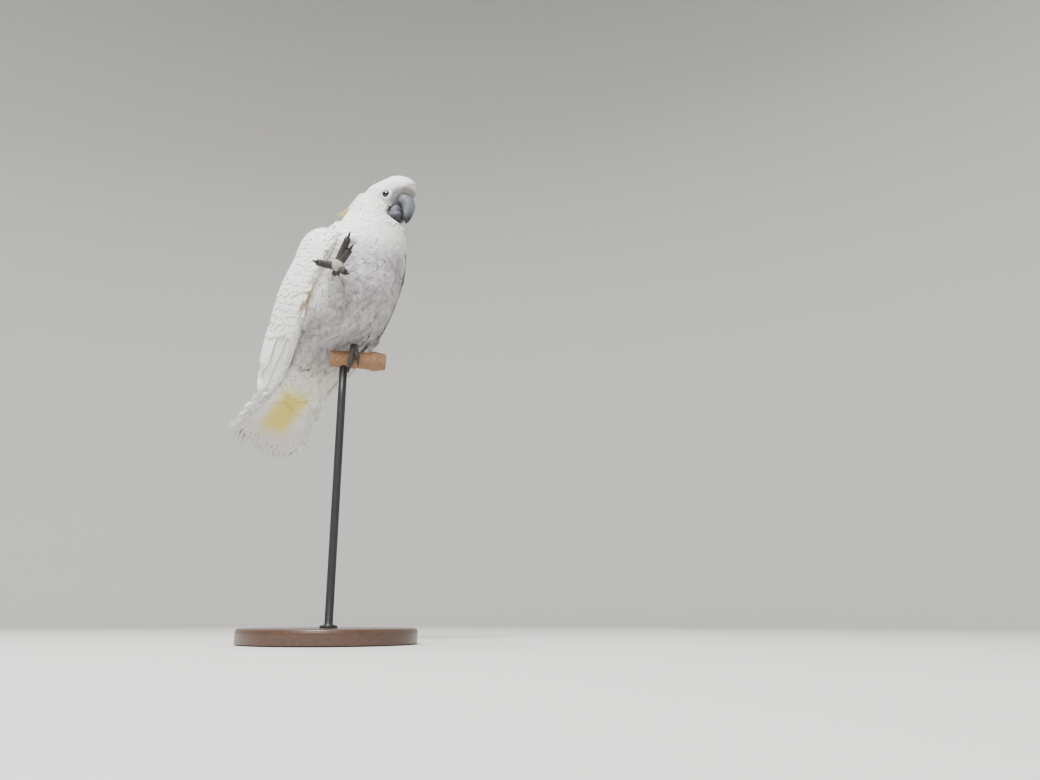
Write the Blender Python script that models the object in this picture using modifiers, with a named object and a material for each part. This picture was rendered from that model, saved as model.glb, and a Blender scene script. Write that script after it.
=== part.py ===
"""A sulphur-crested cockatoo, life size, standing on its left foot on a cut branch with the right foot raised
and open, on a plain display stand. Metres, +Z up. The origin is the centre of the base's underside. The bird
faces -Y, its left side is +X. Bird points are written from the middle of the perch's top, as x to its left,
y backwards and z upwards. Head points are written along the head's own axes, as forward, left and up."""

import math

import bmesh
import bpy
from mathutils import Matrix, Vector

# Stand and perch
BASE_RADIUS = 0.125
BASE_HEIGHT = 0.022
BASE_EDGE = 0.004
ROD_RADIUS = 0.006
BASE_SIDES = 40
ROD_SIDES = 20
PERCH_TOP = 0.43
PERCH_RADIUS = 0.013
PERCH_LENGTH = 0.084
PERCH_SHIFT = 0.021  # its middle from the rod, along it
PERCH_KNOT = 0.046  # where a cut twig left its swelling
KNOT_RISE = 0.0026
KNOT_SPREAD = 0.008
PERCH_TURN = math.radians(-36)
PERCH_BEVEL = 0.1  # how much the sawn ends narrow, as a share of the radius and of the half length

GAP = 0.0003  # between pieces that meet
CUT = 0.0006  # how far a cutter stands out from the piece it copies

# Head
HEAD_CENTRE = Vector((0.015, -0.0760, 0.2310))
HEAD_TURN = math.radians(28)  # to the bird's left
HEAD_LIFT = math.radians(8)  # bill up
EYE_RADIUS = 0.0072
EYE_PLACE = (0.0010, 0.0208, 0.0022)

# Body column, tail end to neck: centre x, y, z, half width, reach forward, reach back, turn to the left
TRUNK = (
    (0.000, 0.098, -0.058, 0.010, 0.006, 0.006, 0),
    (0.000, 0.088, -0.044, 0.028, 0.013, 0.014, 0),
    (0.000, 0.067, -0.014, 0.047, 0.022, 0.026, 0),
    (0.000, 0.038, 0.024, 0.061, 0.023, 0.040, 0),
    (0.000, 0.007, 0.066, 0.067, 0.059, 0.052, 0),
    (0.000, -0.015, 0.106, 0.067, 0.075, 0.060, 0),
    (0.001, -0.028, 0.143, 0.062, 0.068, 0.062, 3),
)
NECK = (
    (0.006, -0.043, 0.170, 0.057, 0.059, 0.062, 8),
    (0.012, -0.053, 0.192, 0.052, 0.050, 0.058, 16),
    (0.013, -0.059, 0.213, 0.038, 0.031, 0.050, 24),
    (0.011, -0.060, 0.232, 0.024, 0.012, 0.036, 26),
)
PARTING = 0.66  # of the way up the column, where the neck leaves the trunk
COLUMN_LENGTH = 0.32
# Head, back to front: forward, height of the middle, half width, reach up, reach down
HEAD = (
    (-0.0500, -0.012, 0.0040, 0.008, 0.008),
    (-0.0430, -0.010, 0.0170, 0.024, 0.020),
    (-0.0300, -0.006, 0.0245, 0.034, 0.031),
    (-0.0100, -0.002, 0.0275, 0.036, 0.032),
    (0.0060, 0.002, 0.0266, 0.0378, 0.017),
    (0.0200, 0.010, 0.0245, 0.0295, 0.013),
    (0.0325, 0.016, 0.0200, 0.019, 0.011),
    (0.0405, 0.017, 0.0125, 0.011, 0.009),
    (0.0440, 0.017, 0.0040, 0.004, 0.003),
)
# Bill halves along their middle line: forward, up, half width, half depth
UPPER_BILL = (
    (0.0080, 0.0030, 0.0130, 0.0120),
    (0.0166, 0.0020, 0.0142, 0.0128),
    (0.0240, -0.0036, 0.0140, 0.0124),
    (0.0272, -0.0126, 0.0124, 0.0106),
    (0.0262, -0.0222, 0.0102, 0.0088),
    (0.0240, -0.0310, 0.0072, 0.0060),
    (0.0212, -0.0378, 0.0038, 0.0032),
    (0.0198, -0.0412, 0.0010, 0.0010),
)
LOWER_BILL = (
    (-0.0030, -0.0226, 0.0128, 0.0116),
    (0.0030, -0.0252, 0.0143, 0.0126),
    (0.0090, -0.0266, 0.0140, 0.0116),
    (0.0136, -0.0268, 0.0120, 0.0088),
    (0.0168, -0.0264, 0.0088, 0.0048),
)
# Folded crest along its middle line: forward, up, half width, half depth
CREST = (
    (0.0360, 0.0290, 0.0090, 0.0025),
    (0.0230, 0.0365, 0.0120, 0.0040),
    (0.0060, 0.0385, 0.0140, 0.0045),
    (-0.0120, 0.0345, 0.0145, 0.0050),
    (-0.0280, 0.0260, 0.0135, 0.0055),
    (-0.0420, 0.0145, 0.0120, 0.0055),
    (-0.0550, 0.0025, 0.0105, 0.0055),
    (-0.0680, -0.0050, 0.0085, 0.0050),
    (-0.0800, -0.0060, 0.0055, 0.0035),
    (-0.0900, -0.0010, 0.0020, 0.0012),
)
# Tail, a cambered fan on an axis that leaves the rump: distance from the root, half width, half depth
TAIL = (
    (-0.012, 0.024, 0.0120),
    (0.028, 0.036, 0.0115),
    (0.062, 0.047, 0.0090),
    (0.096, 0.054, 0.0065),
    (0.130, 0.058, 0.0042),
    (0.150, 0.057, 0.0030),
    (0.161, 0.054, 0.0022),
    (0.168, 0.045, 0.0014),
)
TAIL_ROOT = Vector((0.000, 0.070, -0.010))
TAIL_LEAN = math.radians(39)  # back from straight down
TAIL_ROLL = math.radians(12)  # its left side down
TAIL_SWING = math.radians(9)  # to the bird's right
TAIL_CAMBER = 0.12  # how far the sides drop, as a share of the half width

# Folded wings, shoulder to tip: front edge x outwards, y, z, back edge x, y, z, bulge, thickness
WING_LEFT = (
    (0.052, -0.056, 0.184, 0.038, -0.012, 0.204, 0.008, 0.008),
    (0.067, -0.060, 0.164, 0.040, 0.018, 0.190, 0.018, 0.014),
    (0.0735, -0.052, 0.124, 0.036, 0.048, 0.156, 0.027, 0.013),
    (0.0745, -0.030, 0.078, 0.028, 0.068, 0.112, 0.030, 0.011),
    (0.070, 0.002, 0.032, 0.020, 0.088, 0.066, 0.026, 0.010),
    (0.057, 0.038, -0.010, 0.014, 0.103, 0.022, 0.018, 0.008),
    (0.042, 0.076, -0.042, 0.010, 0.119, -0.020, 0.010, 0.006),
    (0.027, 0.110, -0.068, 0.008, 0.131, -0.054, 0.005, 0.005),
    (0.015, 0.128, -0.082, 0.009, 0.136, -0.076, 0.001, 0.003),
)
WING_RIGHT = (
    (0.050, -0.046, 0.161, 0.044, 0.014, 0.179, 0.008, 0.010),
    (0.070, -0.055, 0.145, 0.048, 0.044, 0.168, 0.019, 0.014),
    (0.081, -0.044, 0.112, 0.040, 0.064, 0.140, 0.023, 0.013),
    (0.082, -0.016, 0.070, 0.032, 0.088, 0.100, 0.030, 0.011),
    (0.075, 0.012, 0.030, 0.026, 0.110, 0.060, 0.033, 0.010),
    (0.065, 0.044, -0.008, 0.028, 0.130, 0.020, 0.032, 0.008),
    (0.056, 0.078, -0.038, 0.032, 0.146, -0.014, 0.025, 0.006),
    (0.052, 0.114, -0.058, 0.042, 0.152, -0.040, 0.013, 0.004),
    (0.050, 0.136, -0.065, 0.048, 0.150, -0.056, 0.002, 0.003),
)

# Legs
ANKLE_RADIUS = 0.0052
THIGH_RADIUS = (0.030, 0.031)  # left, right
THIGH_TAPER = (1.0, 0.97, 0.92, 0.82, 0.68, 0.51, 0.34)
TOE_RADIUS = 0.0044
LEFT_FOOT_ALONG = 0.0135  # along the perch from the rod
LEFT_ANKLE = Vector((0.0155, -0.005, 0.0170))
LEFT_HIP = Vector((0.028, -0.002, 0.049))
RIGHT_HIP = Vector((-0.038, -0.010, 0.050))
RIGHT_ANKLE = Vector((-0.064, -0.052, 0.082))
RIGHT_PALM = Vector((-0.074, -0.068, 0.098))
# Toes: name, length, turn on the perch from straight forward, turn in the open foot from straight up
TOES = (
    ("inner_front", 0.030, 14, 36),
    ("outer_front", 0.044, -8, 18),
    ("outer_back", 0.032, 190, -92),
    ("inner_back", 0.018, 166, 130),
)
CLAW_LENGTH = 0.014
CLAW_RADIUS = 0.0026
CLAW_TIP = 0.0003
CLAW_CURL = 0.55  # how far a claw bends down, as a share of its length
CLAW_GRIP = 0.35  # how much of that bend the claws on the branch have, so that they lie along it
SHANK_RADII = (ANKLE_RADIUS, 0.0046, 0.0048, 0.0054)  # from inside the thigh to the palm
SHANK_START = -0.3  # before the ankle, as a share of the way from it to the palm
TOE_TAPER = 0.32
TOE_OVERLAP = 0.10  # how far behind the palm a wrapped toe starts, as a share of its length
TOE_DRIFT = 0.8  # how far a wrapped toe runs along the branch, as a share of its turn
OPEN_CLAW_BEND = (0.8, 0.3)  # of a claw on the open foot: towards the sole, back along the toe
SOLE_FACING = Vector((-0.56, -0.80, -0.22)).normalized()
TOE_CUP = (-0.10, 0.30, 0.27)  # height of an open toe towards the sole: at its root, rise, and its square
TOE_SHORTENING = 0.10  # what the cup takes off an open toe's reach

RING = 18  # points round the body, head and wings
HORN_RING = 12  # round the bill and the crest
NEAR = 0.02  # share of a table taken either way to find its direction
COLOURS = {
    "feathers": ((0.86, 0.85, 0.82), 0.80),
    "crest": ((0.90, 0.80, 0.25), 0.80),
    "bill": ((0.10, 0.10, 0.11), 0.45),
    "eye": ((0.03, 0.02, 0.02), 0.10),
    "foot": ((0.20, 0.20, 0.20), 0.65),
    "claw": ((0.05, 0.05, 0.05), 0.35),
    "branch": ((0.45, 0.30, 0.18), 0.75),
    "base": ((0.16, 0.10, 0.07), 0.40),
    "rod": ((0.30, 0.30, 0.31), 0.35),
}


def clear_scene():
    for obj in list(bpy.data.objects):
        bpy.data.objects.remove(obj)


def collection(name):
    made = bpy.data.collections.new(name)
    bpy.context.scene.collection.children.link(made)
    return made


def place(obj, name, group, finish=None):
    """Names an object that an operator made, and moves it to a collection."""
    obj.name = name
    for old in obj.users_collection:
        old.objects.unlink(obj)
    group.objects.link(obj)
    if finish:
        obj.data.materials.append(material(finish))
    return obj


def material(name):
    """The named finish, made once."""
    found = bpy.data.materials.get(name)
    if found:
        return found
    colour, roughness = COLOURS[name]
    made = bpy.data.materials.new(name)
    made.use_nodes = True
    shader = made.node_tree.nodes["Principled BSDF"]
    shader.inputs["Base Color"].default_value = (*colour, 1)
    shader.inputs["Roughness"].default_value = roughness
    return made


def smooth(rows, share):
    """A row of sizes at a share of the way along the table, by a Catmull-Rom curve through its rows."""
    at = min(max(share, 0.0), 1.0) * (len(rows) - 1)
    i = min(int(at), len(rows) - 2)
    t = at - i
    before, here, after, beyond = (rows[min(max(k, 0), len(rows) - 1)] for k in range(i - 1, i + 3))
    return [
        b + 0.5 * t * (c - a + t * (2 * a - 5 * b + 4 * c - d + t * (3 * (b - c) + d - a)))
        for a, b, c, d in zip(before, here, after, beyond)
    ]


def steps(count, start=0.0, end=1.0):
    return [start + (end - start) * i / (count - 1) for i in range(count)]


def loft(name, rings, finish, group, parent):
    """One closed body through rings of equal length, with a flat cap at each end."""
    mesh = bmesh.new()
    rows = [[mesh.verts.new(p) for p in ring] for ring in rings]
    for low, high in zip(rows, rows[1:]):
        for k in range(len(low)):
            n = (k + 1) % len(low)
            mesh.faces.new((low[k], low[n], high[n], high[k]))
    mesh.faces.new(rows[0][::-1])
    mesh.faces.new(rows[-1])
    bmesh.ops.recalc_face_normals(mesh, faces=mesh.faces)
    bmesh.ops.triangulate(mesh, faces=mesh.faces)
    data = bpy.data.meshes.new(name)
    mesh.to_mesh(data)
    mesh.free()
    data.materials.append(material(finish))
    data.shade_smooth()
    obj = bpy.data.objects.new(name, data)
    group.objects.link(obj)
    obj.parent = parent
    return obj


def oval(centre, side, across, half_width, reach_one, reach_other, count=RING):
    """A ring round a point: half_width along side, reach_one against across and reach_other along it."""
    ring = []
    for k in range(count):
        angle = 2 * math.pi * k / count
        deep = math.cos(angle)
        reach = reach_one if deep > 0 else reach_other
        ring.append(centre + side * (half_width * math.sin(angle)) - across * (reach * deep))
    return ring


def column_rings(shares, grow=0.0):
    """Rings of the body's column: each lies across the middle line, which bends back to the tail and up to
    the head, and turns with the neck."""
    table = TRUNK + NECK
    rings = []
    for share in shares:
        x, y, z, half_width, front, back, turn = smooth(table, share)
        below, above = smooth(table, share - NEAR / 2), smooth(table, share + NEAR / 2)
        along = (Vector(above[:3]) - Vector(below[:3])).normalized()
        side = Vector((math.cos(math.radians(turn)), math.sin(math.radians(turn)), 0))
        across = along.cross(side).normalized()
        rings.append(oval(Vector((x, y, z)), side, across, half_width + grow, front + grow, back + grow))
    return rings


def trunk_shares():
    """Where the trunk's rings lie along the column, up to its parting from the neck."""
    return steps(14, 0.0, PARTING)


def neck_shares():
    return steps(8, PARTING + GAP / COLUMN_LENGTH, 1.0)


def head_axes():
    """The head's own frame: forward, left and up, at its centre."""
    turn = Matrix.Rotation(HEAD_TURN, 4, "Z") @ Matrix.Rotation(-HEAD_LIFT, 4, "X")
    forward, left, up = (turn @ Vector(v) for v in ((0, -1, 0), (1, 0, 0), (0, 0, 1)))
    return forward, left, up


def in_head(forward, left, up):
    ahead, aside, above = head_axes()
    return HEAD_CENTRE + ahead * forward + aside * left + above * up


def head_rings(grow=0.0, count=13):
    """Rings of the head across its length, fuller at the cheeks than at the crown."""
    ahead, aside, above = head_axes()
    rings = []
    for share in steps(count):
        forward, middle, half_width, up, down = smooth(HEAD, share)
        centre = in_head(forward + grow * (2 * share - 1), 0, middle)
        rings.append(oval(centre, aside, above, half_width + grow, down + grow, up + grow))
    return rings


def horn_rings(table, count, grow=0.0):
    """Rings of a tapered, bent piece that lies in the head's middle plane."""
    ahead, aside, above = head_axes()
    rings = []
    for share in steps(count):
        forward, up, half_width, half_depth = smooth(table, share)
        near, far = smooth(table, share - NEAR), smooth(table, share + NEAR)
        along = ahead * (far[0] - near[0]) + above * (far[1] - near[1])
        across = along.normalized().cross(aside)
        reach = half_depth + grow
        rings.append(oval(in_head(forward, 0, up), aside, across, half_width + grow, reach, reach, HORN_RING))
    return rings


def tube_rings(points, radii, sides=8):
    """Rings of a round limb through points, with a radius at each."""
    rings = []
    side = None
    for i, point in enumerate(points):
        along = (points[min(i + 1, len(points) - 1)] - points[max(i - 1, 0)]).normalized()
        if side is None:
            side = along.orthogonal().normalized()
        side = (side - along * side.dot(along)).normalized()
        rings.append(oval(point, side, along.cross(side), radii[i], radii[i], radii[i], sides))
    return rings


def boolean(obj, other, operation):
    """Applies a Boolean of another object to this one."""
    bpy.context.view_layer.update()
    modifier = obj.modifiers.new("join", "BOOLEAN")
    modifier.operation = operation
    modifier.object = other
    graph = bpy.context.evaluated_depsgraph_get()
    graph.update()
    made = bpy.data.meshes.new_from_object(obj.evaluated_get(graph))
    obj.modifiers.clear()
    obj.data = made
    return obj


def keep_largest(obj):
    """Drops the slivers a cut leaves apart from the main body."""
    mesh = bmesh.new()
    mesh.from_mesh(obj.data)
    waiting, bodies = set(mesh.verts), []
    while waiting:
        body, edge = set(), [waiting.pop()]
        while edge:
            vert = edge.pop()
            body.add(vert)
            near = {link.other_vert(vert) for link in vert.link_edges} & waiting
            waiting -= near
            edge.extend(near)
        bodies.append(body)
    for body in sorted(bodies, key=len)[:-1]:
        bmesh.ops.delete(mesh, geom=list(body), context="VERTS")
    mesh.to_mesh(obj.data)
    mesh.free()


def cut(obj, *cutters):
    for cutter in cutters:
        cutter.hide_render = True
        cutter.display_type = "WIRE"
        boolean(obj, cutter, "DIFFERENCE")
    keep_largest(obj)


def join(obj, *others):
    for other in others:
        boolean(obj, other, "UNION")
        bpy.data.objects.remove(other)


def make_body(group, cutters, bird):
    """Trunk, neck and head, parted where they meet."""
    trunk = loft("trunk", column_rings(trunk_shares()), "feathers", group, bird)
    neck = loft("neck", column_rings(neck_shares()), "feathers", group, bird)
    head = loft("head", head_rings(), "feathers", group, bird)
    cut(neck, loft("head_cutter", head_rings(CUT), "feathers", cutters, bird))
    return trunk, neck, head


def make_bill(group, cutters, bird, head, neck):
    upper = loft("bill_upper", horn_rings(UPPER_BILL, 12), "bill", group, bird)
    lower = loft("bill_lower", horn_rings(LOWER_BILL, 9), "bill", group, bird)
    upper_cutter = loft("upper_cutter", horn_rings(UPPER_BILL, 12, CUT), "bill", cutters, bird)
    lower_cutter = loft("lower_cutter", horn_rings(LOWER_BILL, 9, CUT), "bill", cutters, bird)
    cut(lower, upper_cutter)
    cut(head, upper_cutter, lower_cutter)
    cut(neck, lower_cutter)


def make_eyes(group, cutters, bird, head):
    """Two balls, each in a socket cut a little larger."""
    forward, out, up = EYE_PLACE
    for name, side in (("left", 1), ("right", -1)):
        for label, radius, where in (("eye_", EYE_RADIUS, group), ("socket_", EYE_RADIUS + CUT, cutters)):
            bpy.ops.mesh.primitive_uv_sphere_add(segments=12, ring_count=8, radius=radius)
            ball = place(bpy.context.object, label + name, where, "eye")
            ball.parent = bird
            ball.location = in_head(forward, side * out, up)
            ball.data.shade_smooth()
        cut(head, ball)


def make_crest(group, cutters, bird, *pieces):
    """The folded crest, its tips clear of the nape, set into the crown."""
    loft("crest", horn_rings(CREST, 15), "crest", group, bird)
    cut_by = loft("crest_cutter", horn_rings(CREST, 15, CUT), "crest", cutters, bird)
    for piece in pieces:
        cut(piece, cut_by)


def tail_axes():
    """The fan's own frame: along it, to its left and out of its upper side."""
    turn = Matrix.Rotation(TAIL_LEAN, 3, "X")
    along, above, side = turn @ Vector((0, 0, -1)), turn @ Vector((0, 1, 0)), Vector((1, 0, 0))
    roll = Matrix.Rotation(TAIL_ROLL, 3, along)
    swing = Matrix.Rotation(TAIL_SWING, 3, roll @ above)
    return swing @ along, swing @ roll @ side, roll @ above


def tail_rings(count, grow=0.0):
    """Flat rings whose sides drop, as a tail's outer feathers do."""
    along, side, above = tail_axes()
    rings = []
    for share in steps(count):
        distance, half_width, half_depth = smooth(TAIL, share)
        reach = half_depth + grow
        ring = oval(TAIL_ROOT + along * distance, side, above, half_width + grow, reach, reach)
        rings.append([p - above * (TAIL_CAMBER * (p - TAIL_ROOT).dot(side) ** 2 / half_width) for p in ring])
    return rings


def make_tail(group, cutters, bird, trunk):
    loft("tail", tail_rings(12), "feathers", group, bird)
    cut(trunk, loft("tail_cutter", tail_rings(12, CUT), "feathers", cutters, bird))


def wing_rings(table, side, count, grow=0.0):
    """Rings of a wing, side 1 for the left and -1 for the right. Each goes from the front edge to the back
    edge on the outside, along a parabola of the given bulge, and returns on the inside a thickness away."""
    half = RING // 2
    rings = []
    for share in steps(count):
        row = smooth(table, share)
        front, back, bulge, thick = Vector(row[:3]), Vector(row[3:6]), row[6], row[7] + 2 * grow
        near, far = smooth(table, share - NEAR), smooth(table, share + NEAR)
        along = (Vector(far[:3]) + Vector(far[3:6]) - Vector(near[:3]) - Vector(near[3:6])).normalized()
        out = along.cross(back - front).normalized()
        outer, inner = [], []
        for v in steps(half + 1):
            middle = front.lerp(back, v) + out * (4 * bulge * v * (1 - v))
            depth = 0.5 * thick * math.sqrt(max(0.0, 1 - (2 * v - 1) ** 4))
            outer.append(middle + out * depth)
            inner.append(middle - out * depth)
        rings.append([Vector((side * p.x, p.y, p.z)) for p in outer + inner[-2:0:-1]])
    return rings


def make_wings(group, cutters, bird, *bodies):
    left = loft("wing_left", wing_rings(WING_LEFT, 1, 16), "feathers", group, bird)
    right = loft("wing_right", wing_rings(WING_RIGHT, -1, 16), "feathers", group, bird)
    column = column_rings(trunk_shares() + neck_shares()[1:], CUT)
    body = loft("body_cutter", column, "feathers", cutters, bird)
    tail = loft("tail_space", tail_rings(12, CUT), "feathers", cutters, bird)
    cut(left, body, tail)
    cut(right, body, tail)


def claw(name, root, direction, down, group, bird):
    """A claw that leaves its toe along direction and bends down, as a parabola, narrowing to its tip."""
    bend = down * CLAW_CURL
    points = [root + (direction * t + bend * (t * t)) * CLAW_LENGTH for t in steps(5)]
    radii = [CLAW_RADIUS * (1 - t) ** 0.6 + CLAW_TIP for t in steps(5)]
    return loft(name, tube_rings(points, radii, 7), "claw", group, bird)


def toe(name, points, group, bird):
    radii = [TOE_RADIUS * (1 - TOE_TAPER * t) for t in steps(len(points))]
    return loft(name, tube_rings(points, radii), "foot", group, bird)


def shank(name, ankle, palm, group, bird):
    """The bare lower leg, from a little inside the thigh to the palm."""
    points = [ankle.lerp(palm, t) for t in steps(len(SHANK_RADII), SHANK_START)]
    return loft(name, tube_rings(points, SHANK_RADII), "foot", group, bird)


def perch_toe(turn, length):
    """Middle line of a toe wrapped over the branch: an arc round it from a little behind its top, which
    drifts along it with turn."""
    radius = PERCH_RADIUS + TOE_RADIUS + GAP
    forward = abs(turn) < 90
    way = -1 if forward else 1
    drift = -way * TOE_DRIFT * math.tan(math.radians(turn if forward else turn - 180))
    points = []
    for t in steps(8, -TOE_OVERLAP):
        angle = length * t / radius
        points.append(Vector((LEFT_FOOT_ALONG + drift * length * t, way * radius * math.sin(angle),
                              radius * math.cos(angle) - PERCH_RADIUS + GAP)))
    return points


def make_left_foot(group, bird):
    """The standing foot: two toes forward and two back, wrapped over the branch."""
    turn = Matrix.Rotation(PERCH_TURN, 3, "Z")
    palm = turn @ Vector((LEFT_FOOT_ALONG, 0, TOE_RADIUS + 2 * GAP))
    core = turn @ Vector((LEFT_FOOT_ALONG, 0, -PERCH_RADIUS))
    foot = shank("foot_left", LEFT_ANKLE, palm, group, bird)
    for name, length, on_perch, _ in TOES:
        points = [turn @ p for p in perch_toe(on_perch, length)]
        join(foot, toe("toe_" + name, points, group, bird))
        away = (points[-1] - points[-2]).normalized()
        down = (core - points[-1]).normalized() * CLAW_GRIP
        claw("claw_left_" + name, points[-1] + away * (2 * GAP), away, down, group, bird)
    return foot


def open_toe(way, length):
    """Middle line of a toe of the raised foot: out along way, cupped towards the sole by a parabola."""
    root, rise, square = TOE_CUP
    points = []
    for t in steps(7):
        out = way * (t - TOE_SHORTENING * t ** 3)
        cup = SOLE_FACING * (root + rise * t + square * t * t)
        points.append(RIGHT_PALM + (out + cup) * length)
    return points


def make_right_foot(group, bird):
    """The raised foot, open, its sole turned to the bird's right and front."""
    foot = shank("foot_right", RIGHT_ANKLE, RIGHT_PALM, group, bird)
    up = (Vector((0, 0, 1)) - SOLE_FACING * SOLE_FACING.z).normalized()
    left = up.cross(SOLE_FACING)
    for name, length, _, turn in TOES:
        way = up * math.cos(math.radians(turn)) + left * math.sin(math.radians(turn))
        points = open_toe(way, length)
        join(foot, toe("toe_" + name, points, group, bird))
        away = (points[-1] - points[-2]).normalized()
        down = SOLE_FACING * OPEN_CLAW_BEND[0] - way * OPEN_CLAW_BEND[1]
        claw("claw_right_" + name, points[-1] + away * (2 * GAP), away, down, group, bird)
    return foot


def make_thigh(name, hip, ankle, size, group, cutters, foot):
    """Feathered upper leg from the belly to the ankle, where the foot leaves it."""
    body = bpy.data.objects["body_cutter"]
    points = [hip.lerp(ankle, t) for t in steps(7)]
    radii = [size * share for share in THIGH_TAPER]
    thigh = loft(name, tube_rings(points, radii, 12), "feathers", group, body.parent)
    cut(thigh, body)
    points[-1] = ankle + (ankle - hip).normalized() * CUT
    sleeve = tube_rings(points, [radius + CUT for radius in radii], 12)
    cut(foot, loft(name + "_cutter", sleeve, "feathers", cutters, body.parent), body)


def make_perch(group):
    """A peeled branch, swollen at a knot away from the foot, its sawn ends slightly worn."""
    rings = []
    for share in steps(17):
        along = PERCH_SHIFT + PERCH_LENGTH * (share - 0.5)
        knot = KNOT_RISE * math.exp(-((along - PERCH_KNOT) / KNOT_SPREAD) ** 2)
        to_end = max(0.0, abs(2 * share - 1) - (1 - PERCH_BEVEL)) / PERCH_BEVEL
        radius = (PERCH_RADIUS + knot) * (1 - PERCH_BEVEL * to_end)
        centre = Vector((along, 0, PERCH_TOP - PERCH_RADIUS))
        rings.append(oval(centre, Vector((0, 1, 0)), Vector((0, 0, -1)), radius, radius, radius, 14))
    turn = Matrix.Rotation(PERCH_TURN, 3, "Z")
    return loft("perch", [[turn @ p for p in ring] for ring in rings], "branch", group, None)


def cylinder(name, sides, radius, low, high, group, finish=None):
    bpy.ops.mesh.primitive_cylinder_add(vertices=sides, radius=radius, depth=high - low, end_fill_type="NGON",
                                        location=(0, 0, (low + high) / 2))
    return place(bpy.context.object, name, group, finish)


def make_stand(group, cutters, perch):
    """A round base with a softened edge, and a rod from it into the middle of the branch."""
    low, high = BASE_HEIGHT + GAP, PERCH_TOP - PERCH_RADIUS
    base = cylinder("stand_base", BASE_SIDES, BASE_RADIUS, 0, BASE_HEIGHT, group, "base")
    bevel = base.modifiers.new("edge", "BEVEL")
    bevel.width = BASE_EDGE
    bevel.segments = 2
    bevel.limit_method = "ANGLE"
    rod = cylinder("stand_rod", ROD_SIDES, ROD_RADIUS, low, high, group, "rod")
    for obj in (base, rod):
        obj.data.shade_smooth()
        obj.data.set_sharp_from_angle(angle=math.radians(30))
    cut(perch, cylinder("rod_cutter", ROD_SIDES, ROD_RADIUS + GAP, low, high + GAP, cutters))


def main():
    clear_scene()
    group, cutters = collection("cockatoo"), collection("cutters")
    bird = bpy.data.objects.new("bird", None)
    group.objects.link(bird)
    bird.location = (0, 0, PERCH_TOP)
    bpy.context.view_layer.update()
    trunk, neck, head = make_body(group, cutters, bird)
    make_bill(group, cutters, bird, head, neck)
    make_eyes(group, cutters, bird, head)
    make_tail(group, cutters, bird, trunk)
    make_crest(group, cutters, bird, head, neck)
    make_wings(group, cutters, bird)
    left_foot, right_foot = make_left_foot(group, bird), make_right_foot(group, bird)
    make_thigh("thigh_left", LEFT_HIP, LEFT_ANKLE, THIGH_RADIUS[0], group, cutters, left_foot)
    make_thigh("thigh_right", RIGHT_HIP, RIGHT_ANKLE, THIGH_RADIUS[1], group, cutters, right_foot)
    make_stand(group, cutters, make_perch(group))
    for obj in cutters.objects:
        obj.hide_render = True
        obj.display_type = "WIRE"


main()
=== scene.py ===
"""The looks of a life-size sulphur-crested cockatoo on its display stand: skin, feathers, bill, eyes, feet
and stand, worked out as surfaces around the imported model. Metres, +Z up, the bird faces -Y."""

import math

import bpy
import numpy as np
from bpy.props import FloatProperty, FloatVectorProperty, IntProperty, PointerProperty
from bpy.types import Operator, Panel, PropertyGroup
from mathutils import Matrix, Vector


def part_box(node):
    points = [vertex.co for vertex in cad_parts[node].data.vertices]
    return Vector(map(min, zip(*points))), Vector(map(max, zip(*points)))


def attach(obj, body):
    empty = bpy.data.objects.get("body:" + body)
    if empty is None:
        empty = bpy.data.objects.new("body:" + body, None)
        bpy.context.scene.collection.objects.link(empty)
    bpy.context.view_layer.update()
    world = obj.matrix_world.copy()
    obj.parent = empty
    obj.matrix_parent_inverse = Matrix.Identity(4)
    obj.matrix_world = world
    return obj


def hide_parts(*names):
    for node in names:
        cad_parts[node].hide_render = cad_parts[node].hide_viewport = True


bl_info = {
    "name": "Perched Cockatoo",
    "version": (1, 0, 0),
    "blender": (4, 5, 0),
    "location": "View3D > Sidebar > Cockatoo",
    "description": "Builds a life-size cockatoo with modelled feathers on a display stand",
    "category": "Add Mesh",
}

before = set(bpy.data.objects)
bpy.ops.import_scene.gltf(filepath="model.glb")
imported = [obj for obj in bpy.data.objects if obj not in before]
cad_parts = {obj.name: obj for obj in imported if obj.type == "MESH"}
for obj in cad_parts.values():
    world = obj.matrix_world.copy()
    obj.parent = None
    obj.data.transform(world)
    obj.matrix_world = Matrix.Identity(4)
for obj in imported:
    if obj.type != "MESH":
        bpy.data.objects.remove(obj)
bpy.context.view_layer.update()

# Coverts where the body runs out onto the tail: distance along the tail, half width, reach below its middle,
# reach above it, depth of the coat
COVERTS = (
    (0.150, 0.000, 0.0000, 0.0000, 0.0010),
    (0.120, 0.030, 0.0044, 0.0036, 0.0030),
    (0.090, 0.034, 0.0072, 0.0058, 0.0038),
    (0.062, 0.038, 0.0110, 0.0090, 0.0048),
    (0.038, 0.042, 0.0150, 0.0135, 0.0056),
    (0.014, 0.045, 0.0195, 0.0200, 0.0062),
)
# Body column, rump to neck: centre x, y, z from the perch's top, half width, reach forward, reach back,
# turn to the left in degrees, depth of the coat
COLUMN = (
    (0.000, 0.067, -0.014, 0.047, 0.022, 0.026, 0, 0.0065),
    (0.000, 0.038, 0.024, 0.061, 0.023, 0.040, 0, 0.0070),
    (0.000, 0.007, 0.066, 0.067, 0.059, 0.052, 0, 0.0070),
    (0.000, -0.015, 0.106, 0.067, 0.075, 0.060, 0, 0.0070),
    (0.001, -0.028, 0.143, 0.062, 0.068, 0.062, 3, 0.0065),
    (0.006, -0.043, 0.170, 0.057, 0.059, 0.062, 8, 0.0060),
    (0.012, -0.053, 0.192, 0.052, 0.050, 0.058, 16, 0.0050),
)
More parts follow.
